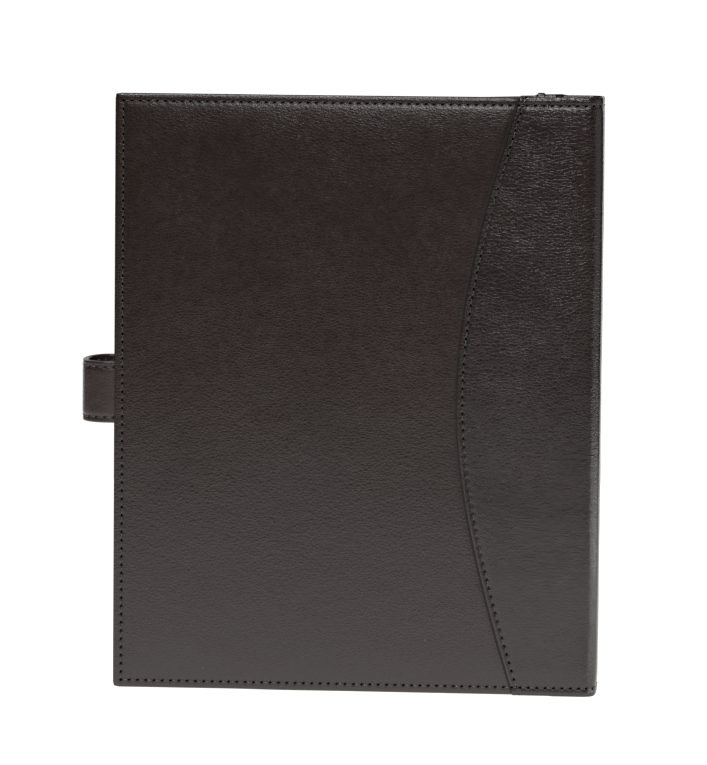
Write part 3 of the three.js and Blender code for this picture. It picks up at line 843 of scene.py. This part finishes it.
# ---------- the strap ----------
ROOT_LOW, ROOT_HIGH = place_of("strap_root")
TAB_LOW, TAB_HIGH = place_of("strap_tab_outer")
STRAP_THICK = TAB_HIGH[1] - place_of("strap_tab_lining")[0][1]
STRAP_FAR = TAB_HIGH[1] - STRAP_THICK / 2
STRAP_NEAR = (ROOT_LOW[1] + ROOT_HIGH[1]) / 2
BEND_RADIUS = (STRAP_FAR - STRAP_NEAR) / 2
BEND_X = place_of("strap_bend_outer")[0][0] + BEND_RADIUS + STRAP_THICK / 2
BEND_Y = (STRAP_FAR + STRAP_NEAR) / 2
ROOT_RUN = ROOT_HIGH[0] - BEND_X
BEND_RUN = math.pi * BEND_RADIUS
STRAP_RUN = ROOT_RUN + BEND_RUN + TAB_HIGH[0] - BEND_X
STRAP_HALF = (TAB_HIGH[2] - TAB_LOW[2]) / 2
STRAP_MIDDLE = (TAB_HIGH[2] + TAB_LOW[2]) / 2
STRAP_STITCH = 3.0
STRAP_END_RADIUS = 12.0


def loop(flat):
    """Flat points of the strap, (run, height from its middle, depth), laid round its bend."""
    s, z, d = flat[:, 0], flat[:, 1], flat[:, 2]
    angle = np.clip((s - ROOT_RUN) / BEND_RADIUS, 0, math.pi)
    after = np.maximum(s - ROOT_RUN - BEND_RUN, 0)
    radius = BEND_RADIUS - d
    x = np.where(s < ROOT_RUN, ROOT_HIGH[0] - s, BEND_X - radius * np.sin(angle) + after)
    y = np.where(s < ROOT_RUN, STRAP_NEAR + d, BEND_Y - radius * np.cos(angle))
    rise = 0.9 * (1 - ramp(after, 0, 22)) + 1.5 * ramp(angle, 0.9, 2.9) * (1 - ramp(after, 2, 22))
    return np.stack([x, y, z + STRAP_MIDDLE + rise], -1)


def round_end(flat):
    """Rounds both corners of the strap's end."""
    clear = 100  # moves the strap's middle up, so that round_corner knows its top from its bottom
    flat[:, 1] += clear
    flat = round_corner(flat, STRAP_RUN, clear + STRAP_HALF, STRAP_END_RADIUS)
    flat = round_corner(flat, STRAP_RUN, -(clear - STRAP_HALF), STRAP_END_RADIUS)
    flat[:, 1] -= clear
    return flat


def strap_path():
    """Needle holes round the strap: out along its lower edge, round the end, and back."""
    side, end = STRAP_HALF - STRAP_STITCH, STRAP_RUN - STRAP_STITCH
    radius = STRAP_END_RADIUS - STRAP_STITCH
    turn = np.linspace(-math.pi / 2, 0, 12)
    low = np.stack([end - radius + radius * np.cos(turn), -side + radius + radius * np.sin(turn)], -1)
    start = 6.0
    path = np.concatenate([[[start, -side]], low, low[::-1] * [1, -1], [[start, side]]])
    length = np.concatenate([[0], np.cumsum(np.hypot(*np.diff(path, axis=0).T))])
    count = round(length[-1] / PITCH_Z)
    at = np.linspace(0, length[-1], count + 1)
    return np.stack([np.interp(at, length, path[:, 0]), np.interp(at, length, path[:, 1])], -1)


def strap():
    """One band of leather that stands for the strap's five pieces, and its thread on both faces."""
    rim = 0.9
    runs = np.append(np.arange(0, STRAP_RUN - rim, STEP_Z / 1.3), STRAP_RUN - rim)
    s, z = grid(runs, np.linspace(-STRAP_HALF + rim, STRAP_HALF - rim, 40))
    holes = strap_path()
    here = round_end(np.stack([s, z, s * 0], -1).reshape(-1, 3))[:, :2]
    gap = np.sqrt(((here[:, None, :] - holes[None]) ** 2).sum(-1)).min(1).reshape(s.shape)
    hole = dimple(gap, 0, 0.4) * (s > 7)
    edge = np.minimum(STRAP_HALF - np.abs(z), STRAP_RUN - s)
    half = STRAP_THICK / 2
    swell = 0.18 * bell(edge - STRAP_STITCH, 1.1) + 0.12 * (1 - ramp(edge, 0, 7))
    front = -half + swell + 0.18 * hole + 0.04 * lumps(s, z, 9, 71)
    back = half - swell - 0.18 * hole - 0.04 * lumps(s, z, 9, 72)
    flat, faces, near = plate(s, z, front, back, (0, rim, rim, rim), 11, FULL_EDGE, groove=0.35)
    flat = round_end(flat)
    # painted shade in the strap's needle holes, on both its faces
    dark = hole_shade(hole, len(flat))
    dark[-hole.size :] = hole.ravel()
    rest = flat + [400, 0, 0]  # grain of its own, away from the covers'
    marks = {"stitch_shade": dark, "rub": near}
    piece = build("strap_leather", loop(flat), faces, rest, [STRAP], marks, flip=True)
    swing(piece)
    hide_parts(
        "strap_root", "strap_bend_outer", "strap_bend_lining", "strap_tab_outer", "strap_tab_lining"
    )
    lines = []
    seen = holes[:, 0] > 8.0  # the strap starts inside the cover
    keep = seen[:-1] & seen[1:]
    level = np.full(keep.sum(), -half + 0.32)
    for facing in (1, -1):
        points, faces, rest = stitches(holes[:-1][keep], holes[1:][keep], level, 300 + facing)
        points[:, 2] *= facing
        lines.append((points, faces if facing == 1 else [f[::-1] for f in faces], rest))
    points, faces, rest = gather(lines)
    piece = build("strap_thread", loop(points), faces, rest, [THREAD], flip=True)
    swing(piece)
    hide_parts("strap_tab_stitching")


def swing(piece):
    """Bakes the piece's transform into its mesh."""
    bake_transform(piece)


strap()

# ---------- inside the covers ----------
def depths_of(node, side):
    """A node's corners, and the depths of its two faces from its cover's outer face."""
    low, high = place_of(node)
    if side == "back":
        return low, high, low[1], high[1]
    return low, high, THICKNESS - high[1], THICKNESS - low[1]


def spread(low, high, rims, counts):
    """An even grid between two corners, inside the widths of the rims."""
    left, right, bottom, top = rims
    xs = np.linspace(low[0] + left, high[0] - right, counts[0])
    return grid(xs, np.linspace(low[2] + bottom, high[2] - top, counts[1]))


def sew(path, depth, seed, radius=THREAD_RADIUS):
    """Stitches along a path of needle holes on a face that looks inwards, at this depth."""
    path = np.asarray(path, float)
    level = -np.broadcast_to(depth, len(path) - 1)
    points, faces, rest = stitches(path[:-1], path[1:], level, seed, radius)
    points[:, 2] *= -1
    return points, [face[::-1] for face in faces], rest


def fine_run(a, b, depth, seed):
    return sew(line(a, b, FINE_PITCH), depth, seed, FINE_RADIUS)


def line(a, b, pitch=3.6):
    """Needle holes from one flat point to another."""
    a, b = np.asarray(a, float), np.asarray(b, float)
    count = max(1, round(np.hypot(*(b - a)) / pitch))
    return a + (b - a) * np.linspace(0, 1, count + 1)[:, None]


def sewn(name, side, flat, faces, runs, paint, node):
    """A piece on a cover with its own stitching: the flat sheet, then the runs of thread."""
    points, all_faces, rest = gather([(flat, faces, grain_of(flat, side)), *runs])
    which = np.arange(len(all_faces)) >= len(faces)
    piece = cover_piece(name, side, points, all_faces, [paint, THREAD], rest, face_paint=which)
    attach(piece, f"{side}_cover")
    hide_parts(node)
    return piece


def lining(side):
    """The cloth inside a cover, carried on to the middle of the spine."""
    seed = SEEDS[side] + 80
    inset, rim = 2.6, 0.7
    fine = np.arange(inset + rim, 19, 1.7)  # finer steps near the edges and on the soft corner
    corner = np.arange(BOARD_EDGE - 1, SPINE_MIDDLE - 0.5, 1.3)
    xs = np.concatenate([fine, np.arange(20.5, BOARD_EDGE - 2, 3.4), corner, [SPINE_MIDDLE]])
    zs = np.concatenate([fine, np.arange(20.5, HEIGHT - 20, 3.4), HEIGHT - fine[::-1]])
    x, z = grid(xs, zs)
    soft = ramp(x, BOARD_EDGE - 0.5, BOARD_EDGE + 4.5)
    front = (TURNED_DEPTH - 0.5) * (1 - soft) + (SOFT_DEPTH - 0.15) * soft
    back = INNER * (1 - soft) + (SOFT_DEPTH + 0.8) * soft
    edge = edge_distance(x, z)
    back -= (0.28 * ramp(edge, 12.5, 15.5)) * (1 - soft) + 0.2 * (1 - ramp(edge, 2.5, 6))
    back += 0.07 * lumps(x, z, 26, seed) + 0.05 * lumps(x, z, 8, seed + 1, 3)
    flat, faces, _ = plate(x, z, front, back, (rim, 0, rim, rim), rings=5)
    piece = cover_piece(f"{side}_lining_cloth", side, flat, faces, [LINING])
    bend(piece, side)
    nodes = [f"{side}_lining", f"{side}_corner_lining"]
    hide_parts(*nodes, *(["spine_lining"] if side == "back" else []))


def pocket(name, side, seed):
    """A sheet sewn down on three sides, bowed over what it holds, and its bound open edge."""
    low, high, _, far_face = depths_of(name, side)
    ply, rim, inset = 0.9, 0.4, 2.3
    edge_x, edge_z = (np.arange(low[i] + rim, low[i] + 8, 0.8) for i in (0, 2))
    middle_x = np.arange(low[0] + 8.6, high[0] - 8, 3.2)
    middle_z = np.arange(low[2] + 8.6, high[2] - rim, 3.2)
    xs = np.concatenate([edge_x, middle_x, high[0] + low[0] - edge_x[::-1]])
    x, z = grid(xs, np.concatenate([edge_z, middle_z, [high[2] - rim]]))
    edge = np.minimum(np.minimum(x - low[0], high[0] - x), z - low[2])
    hold = ramp(edge, 0.6, 6.5)
    outer = INNER + ply + 0.05 + (far_face - INNER - ply) * hold
    outer += -0.14 * bell(edge - inset, 0.9) + 0.05 * lumps(x, z, 21, seed) * hold
    flat, faces, _ = plate(x, z, outer - ply, outer, (rim,) * 4, rings=6)
    flat = round_corner(flat, -low[0], -low[2], 2.5)
    level = INNER + ply + (far_face - INNER - ply) * 0.16
    left, right, bottom, top = low[0] + inset, high[0] - inset, low[2] + inset, high[2] - 1.5
    corners = [[left, top], [left, bottom], [right, bottom], [right, top]]
    runs = [sew(line(corners[k], corners[k + 1]), level, seed + 2 + k) for k in range(3)]
    piece = sewn(f"{name}_cloth", side, flat, faces, runs, LINING, name)
    binding = f"{name}_binding"
    low, high, _, far_face = depths_of(binding, side)
    xs = np.append(np.arange(low[0] + rim, high[0] - rim, 2.2), high[0] - rim)
    x, z = grid(xs, np.linspace(low[2] + rim, high[2] - rim, 9))
    row = 1.6  # height of its stitching
    outer = far_face + 0.03 + 0.04 * lumps(x, z, 5, seed + 5) - 0.08 * bell(z - low[2] - row, 0.7)
    inner = np.full_like(outer, far_face - ply - 0.45)
    flat, faces, _ = plate(x, z, inner, outer, (rim,) * 4, rings=7)
    holes = line([low[0] + 1.5, low[2] + row], [high[0] - 1.5, low[2] + row])
    runs = [sew(holes, far_face - 0.06, seed + 6)]
    sewn(f"{binding}_leather", side, flat, faces, runs, INSIDE, binding)


def card_slots():
    """Four pockets that overlap, a line pressed below each top edge; the last has a sewn bottom."""
    tops = [depths_of(f"card_slot_{i}", "front")[1][2] for i in range(1, 5)]
    rim, inset, last = 0.28, 1.8, 3
    for i in range(4):
        node = f"card_slot_{i + 1}"
        low, high, near_face, far_face = depths_of(node, "front")
        xs = np.linspace(low[0] + rim, high[0] - rim, 44)
        top_rows = high[2] - np.array([3.2, 2.6, 2.0, 1.4, 0.8, rim])
        x, z = grid(xs, np.concatenate([np.linspace(low[2] + rim, high[2] - 4, 18), top_rows]))
        outer = far_face + 0.02 - 0.12 * bell(high[2] - z - 2.1, 0.55)
        middle = 1 - ((x - (low[0] + high[0]) / 2) / (high[0] - low[0]) * 2) ** 2
        bow = 0.22 * middle * ramp(z, low[2] + 8, high[2])
        outer = outer + 0.04 * lumps(x, z, 12, 500 + i)
        inner = np.full_like(outer, near_face + 0.02)
        outer = outer + bow * (i == last)
        flat, faces, _ = plate(x, z, inner, outer, (rim,) * 4, rings=6, fullness=(0.7, 0.8))
        left, right, bottom = low[0] + inset, high[0] - inset, low[2] + inset
        below = bottom if i == last else tops[i + 1] + 1.2
        level = far_face + 0.02
        runs = [fine_run([at, below], [at, high[2] - 0.8], level, 510 + i) for at in (left, right)]
        if i == last:
            runs.append(fine_run([left, bottom], [right, bottom], level, 515))
        sewn(f"{node}_leather", "front", flat, faces, runs, INSIDE, node)


def rounded(low_x, high_x, low_z, high_z, radius, count=7):
    """A rounded rectangle as a loop of points."""
    loop_points = []
    for cx, cz, start in (
        (high_x - radius, low_z + radius, -90),
        (high_x - radius, high_z - radius, 0),
        (low_x + radius, high_z - radius, 90),
        (low_x + radius, low_z + radius, 180),
    ):
        for turn in np.radians(np.linspace(start, start + 90, count)):
            loop_points.append([cx + radius * math.cos(turn), cz + radius * math.sin(turn)])
    return np.array(loop_points)


def subdivide(loop_points, most):
    """The loop with long sides cut into shorter ones."""
    made = []
    for a, b in zip(loop_points, np.roll(loop_points, -1, 0)):
        count = max(1, math.ceil(np.hypot(*(b - a)) / most))
        made += [a + (b - a) * k / count for k in range(count)]
    return np.array(made)


# (share of the way in, share of the height) round the window frame's section
FRAME_SECTION = (
    (0.0, 0.3), (0.035, 0.75), (0.12, 1.0), (0.22, 0.9), (0.4, 1.02), (0.7, 1.02),
    (0.88, 0.95), (0.97, 0.7), (1.0, 0.35), (0.98, 0.05), (0.5, 0.0), (0.03, 0.05),
)


def id_window():
    """A leather frame, sewn down, with a clear film in it."""
    low, high, near_face, far_face = depths_of("id_window_frame", "front")

    def outline(inset, *shape):
        return rounded(low[0] + inset, high[0] - inset, low[2] + inset, high[2] - inset, *shape)

    outer, inner = outline(0, 3.0), outline(7.0, 1.6)
    outer_loop, inner_loop = [], []
    for k in range(len(outer)):
        n = (k + 1) % len(outer)
        count = max(1, math.ceil(np.hypot(*(outer[n] - outer[k])) / 3))
        for step in range(count):
            outer_loop.append(outer[k] + (outer[n] - outer[k]) * step / count)
            inner_loop.append(inner[k] + (inner[n] - inner[k]) * step / count)
    outer_loop, inner_loop = np.array(outer_loop), np.array(inner_loop)
    size = len(outer_loop)
    rows, faces = [], []
    for k, (share, height) in enumerate(FRAME_SECTION):
        ring = outer_loop * (1 - share) + inner_loop * share
        depth = near_face + 0.02 + (far_face - near_face) * height
        rows.append(np.column_stack([ring, np.full(size, depth)]))
        a, b = k * size, ((k + 1) % len(FRAME_SECTION)) * size
        for i in range(size):
            j = (i + 1) % size
            faces.append([b + i, b + j, a + j, a + i])
    path = outline(1.7, 1.8, 3)
    path = subdivide(np.vstack([path, path[:1]]), FINE_PITCH)[:-1]
    runs = [sew(path, far_face - 0.03, 530, FINE_RADIUS)]
    flat = np.concatenate(rows)
    sewn("id_window_leather", "front", flat, faces, runs, INSIDE, "id_window_frame")

    low, high, near_face, far_face = depths_of("id_window_film", "front")
    rims = (0.1,) * 4
    x, z = spread(low, high, rims, (30, 22))
    bow = 0.1 * lumps(x, z, 17, 540)
    flat, faces, _ = plate(x, z, near_face + 0.1 + bow, far_face - 0.02 + bow, rims, rings=2)
    piece = cover_piece("id_window_sheet", "front", flat, faces, [FILM], flat)
    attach(piece, "front_cover")
    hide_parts("id_window_film")


def pen_loop():
    """A sewn tube that stands on a foot, on the spine's lining."""
    low, high = place_of("pen_loop")
    wall, foot_half, rim = 0.9, MIDDLE - CORNER, 0.3
    radius = (high[1] - low[1]) / 2
    tall = high[2] - low[2]
    lip = 0.45  # radius of the tube's rounded ends
    profile = []

    def lip_round(start, end, count, level):
        for turn in np.radians(np.linspace(start, end, count)):
            across = radius - wall / 2 + wall / 2 * math.cos(turn)
            profile.append([across, level + lip * math.sin(turn)])

    lip_round(-90, 90, 5, tall - lip)
    lip_round(90, 180, 5, tall - lip)
    lip_round(202.5, 270, 4, lip)
    lip_round(-67.5, 0, 4, lip)
    points, faces = lathe(profile, 64)
    across, up, away = points.T
    tube = np.column_stack([low[0] + radius + across, MIDDLE + away, low[2] + up])
    rest = np.column_stack([np.arctan2(away, across) * radius, up, np.hypot(across, away)])
    ys = np.linspace(MIDDLE - foot_half + rim, MIDDLE + foot_half - rim, 12)
    y, z = grid(ys, np.linspace(low[2] + rim, high[2] - rim, 24))
    half = np.full_like(y, wall / 2)
    flat, foot_faces, _ = plate(y, z, -half, half, (rim,) * 4, rings=6)

    def stand(flat):
        return np.column_stack([high[0] - wall / 2 - flat[:, 2], flat[:, 0], flat[:, 1]])

    runs = []
    for place in (MIDDLE - foot_half + 1.3, MIDDLE + foot_half - 1.3):
        ends = [place, low[2] + 1.2], [place, high[2] - 1.2]
        thread, thread_faces, thread_rest = fine_run(*ends, wall / 2, 560)
        runs.append((stand(thread), thread_faces, thread_rest))
    leather_parts = [(tube, [face[::-1] for face in faces], rest), (stand(flat), foot_faces, flat)]
    points, all_faces, rest = gather([*leather_parts, *runs])
    which = np.arange(len(all_faces)) >= len(faces) + len(foot_faces)
    piece = build("pen_loop_leather", points, all_faces, rest, [INSIDE, THREAD], face_paint=which)
    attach(piece, "spine")
    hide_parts("pen_loop")


def pad():
    """The writing pad: paper whose leaves show at its sides, backing board and binding tape."""
    low, high, near_face, far_face = depths_of("pad_paper", "back")
    rims, leaves = (0.35,) * 4, 24
    x, z = spread(low, high, rims, (60, 76))
    from_tape = (high[2] - z) / (high[2] - low[2])
    curl = 0.9 * ramp(x, high[0] - 70, high[0]) * ramp(low[2] + 60 - z, 0, 60)
    face = far_face + 0.06 * lumps(x, z, 40, 601) * from_tape + curl
    under = np.full_like(face, near_face)
    flat, faces, _ = plate(x, z, under, face, rims, leaves, (0.12, 1.0))
    ring = 2 * sum(x.shape) - 4
    rng = np.random.default_rng(603)
    for k in range(leaves):
        rows = slice(x.size + k * ring, x.size + (k + 1) * ring)
        flat[rows, :2] += rng.uniform(-0.16, 0.16, 2)
    leaf = paper_paint("paper", top_line=high[2] - 28, pitch=7.1, face=far_face)
    rest = flat.copy()
    rest[: x.size, 2] = near_face
    rest[-x.size :, 2] = far_face
    piece = cover_piece("pad_paper_block", "back", flat, faces, [leaf], rest)
    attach(piece, "pad")
    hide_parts("pad_paper")

    low, high, near_face, far_face = depths_of("pad_backing", "back")
    rims = (0.2,) * 4
    x, z = spread(low, high, rims, (40, 50))
    warp = 0.06 * lumps(x, z, 60, 605)
    flat, faces, _ = plate(x, z, near_face + warp, far_face + warp, rims, 5, (0.3, 0.9))
    piece = cover_piece("pad_backing_board", "back", flat, faces, [CHIPBOARD])
    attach(piece, "pad")
    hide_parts("pad_backing")

    low, high, near_face, far_face = depths_of("pad_binding", "back")
    rims = (0.25, 0.25, 0.1, 0.5)
    x, z = spread(low, high, rims, (80, 14))
    bulge = 0.05 * lumps(x, z, 7, 607) + 0.15 * ramp(z, high[2] - 1, high[2] - 0.4)
    near_face = near_face + 0.15 + bulge
    flat, faces, _ = plate(x, z, near_face, far_face - bulge, rims, 9, (0.5, 0.8))
    piece = cover_piece("pad_tape", "back", flat, faces, [TAPE])
    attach(piece, "pad")
    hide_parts("pad_binding")


def turned_piece(name, node, body, profile):
    """A turned metal piece on the snap's axis."""
    low, high = place_of(node)
    middle = (low + high) / 2
    points, faces = lathe(profile)
    points = points + [middle[0], 0, middle[2]]
    piece = build(name, points, faces, points, [METAL])
    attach(piece, body)
    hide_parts(node)


def snap():
    """Cap, socket and stud; the post is hidden in the cover, so its CAD node stays, in metal."""
    low, high = place_of("snap_cap")
    leather_top, top, radius = TAB_HIGH[1], high[1], (high[0] - low[0]) / 2
    cap = [[0, low[1]], [1.2, low[1]], [1.2, leather_top - 0.1], [radius - 0.5, leather_top - 0.15]]
    rolled = ((0.12, 0), (0, 0.25), (0.1, 0.5), (0.4, 0.62), (0.75, 0.6), (0.95, 0.66))
    cap += [[radius - inwards, leather_top + up] for inwards, up in rolled]
    dome, start = radius - 1.0, leather_top + 0.62
    for turn in np.radians(np.linspace(12, 90, 12)):
        cap.append([dome * math.cos(turn), start + (top - start) * math.sin(turn)])
    cap[-1][0] = 0
    turned_piece("snap_cap_metal", "snap_cap", "strap_tab", cap)

    low, high = place_of("snap_socket")
    outer, under, over = (high[0] - low[0]) / 2, low[1], high[1]
    lower = ((2.3, 0.25), (2.6, 0.02), (3.2, 0), (3.5, 0.15), (4.2, 0.15), (4.5, 0))
    ring = [[across, under + up] for across, up in lower]
    ring += [[outer - 0.2, under + 0.03], [outer, under + 0.25], [outer, over - 0.1], [2.4, over - 0.1]]
    turned_piece("snap_socket_metal", "snap_socket", "strap_tab", ring)

    low, high = place_of("snap_stud")
    flange, base, tip = (high[0] - low[0]) / 2, low[1], high[1]
    stud = [[0, base], [flange - 0.2, base], [flange, base + 0.2], [flange - 0.1, base + 0.45]]
    neck = ((2.6, 0.6), (2.1, 0.75), (1.75, 1.0), (1.8, 1.25), (2.0, 1.5))
    stud += [[flange - 0.6, base + 0.58], *([across, base + up] for across, up in neck)]
    stud += [[1.95, tip - 0.2], [1.6, tip - 0.04], [0, tip]]
    turned_piece("snap_stud_metal", "snap_stud", "front_cover", stud)

    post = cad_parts["snap_post"]
    post.data.materials.clear()
    post.data.materials.append(METAL)


for cover in ("back", "front"):
    lining(cover)
pocket("pad_pocket", "back", 401)
pocket("document_pocket", "front", 431)
card_slots()
id_window()
pen_loop()
pad()
snap()

# ---------- the set ----------
scene = bpy.context.scene
scene.view_settings.view_transform = "Standard"


def lamp(name, kind, power, position, size=None, height=None, angle=None, aim_height=0.16):
    """A light that looks at the object, and that the camera doesn't see."""
    data = bpy.data.lights.new(name, kind)
    data.energy = power
    if size:
        data.shape, data.size, data.size_y = "RECTANGLE", size, height or size
    if angle:
        data.angle = angle
    light = bpy.data.objects.new(name, data)
    light.location = position
    light.visible_camera = False
    x, y, z = position
    light.rotation_euler = Vector((-x, -y, aim_height - z)).to_track_quat("-Z", "Y").to_euler()
    scene.collection.objects.link(light)


def studio():
    """A bright round floor, a world that is white to the camera alone, and the lamps."""
    bpy.ops.mesh.primitive_circle_add(vertices=96, radius=0.95, fill_type="NGON")
    floor = bpy.context.object
    floor.name = "floor"
    white = (1, 1, 1, 1)
    paint = Paint(
        "floor", Roughness=0.9, Specular_IOR_Level=0.1, Emission_Strength=1.08, Emission_Color=white
    )
    tint = paint.noise(paint.node("TexCoord", out=3), 2.0)
    colour = paint.mix(tint, (0.3, 0.3, 0.3, 1), (0.32, 0.32, 0.32, 1))
    floor.data.materials.append(paint.finish(Base_Color=colour))
    world = bpy.data.worlds.new("studio")
    scene.world = world
    world.use_nodes = True
    nodes, links = world.node_tree.nodes, world.node_tree.links
    fill, seen = nodes["Background"], nodes.new("ShaderNodeBackground")
    for background, strength in ((fill, 0.015), (seen, 1.1)):
        background.inputs["Strength"].default_value = strength
        background.inputs["Color"].default_value = white
    path = nodes.new("ShaderNodeLightPath")
    mixed = nodes.new("ShaderNodeMixShader")
    links.new(path.outputs["Is Camera Ray"], mixed.inputs[0])
    links.new(fill.outputs[0], mixed.inputs[1])
    links.new(seen.outputs[0], mixed.inputs[2])
    links.new(mixed.outputs[0], nodes["World Output"].inputs[0])
    # from the front and the side, for the leather
    lamp("sun", "SUN", 1.65, (-0.5, -1.5, 2.1), angle=0.35)
    lamp("softbox", "AREA", 8.2, (0.08, -2.4, 1.02), size=0.5)
    lamp("strip", "AREA", 0.42, (0.64, -0.14, 0.02), size=0.6, height=0.04, aim_height=0.06)
    lamp("side panel", "AREA", 0.25, (0.64, -0.14, 0.28), size=0.5, height=0.36, aim_height=0.28)
    # from behind, for the object's rims and the ground
    lamp("right rim", "AREA", 4, (1.1, 1.7, 0.3), size=0.9)
    lamp("left rim", "AREA", 3, (-1.1, 1.7, 0.3), size=0.9)
    lamp("backdrop", "AREA", 9, (0, 1.9, 0.55), size=1.9)


def camera():
    """A long lens, so that upright edges stay parallel."""
    distance, pitch, yaw, roll = 3.0, math.radians(5.8), math.radians(3.93), math.radians(0.52)
    target = Vector((0.0065, 0.0, 0.1652))
    data = bpy.data.cameras.new("camera")
    data.sensor_width = 36
    data.lens = 263.7
    view = bpy.data.objects.new("camera", data)
    level = math.cos(pitch)
    ahead = Vector((-math.sin(yaw) * level, math.cos(yaw) * level, -math.sin(pitch)))
    right = ahead.cross(Vector((0, 0, 1))).normalized()
    up = right.cross(ahead)
    cos, sin = math.cos(roll), math.sin(roll)
    turned = Matrix((right * cos + up * sin, up * cos - right * sin, -ahead)).transposed()
    view.matrix_world = Matrix.Translation(target - ahead * distance) @ turned.to_4x4()
    scene.collection.objects.link(view)
    scene.camera = view


studio()
camera()
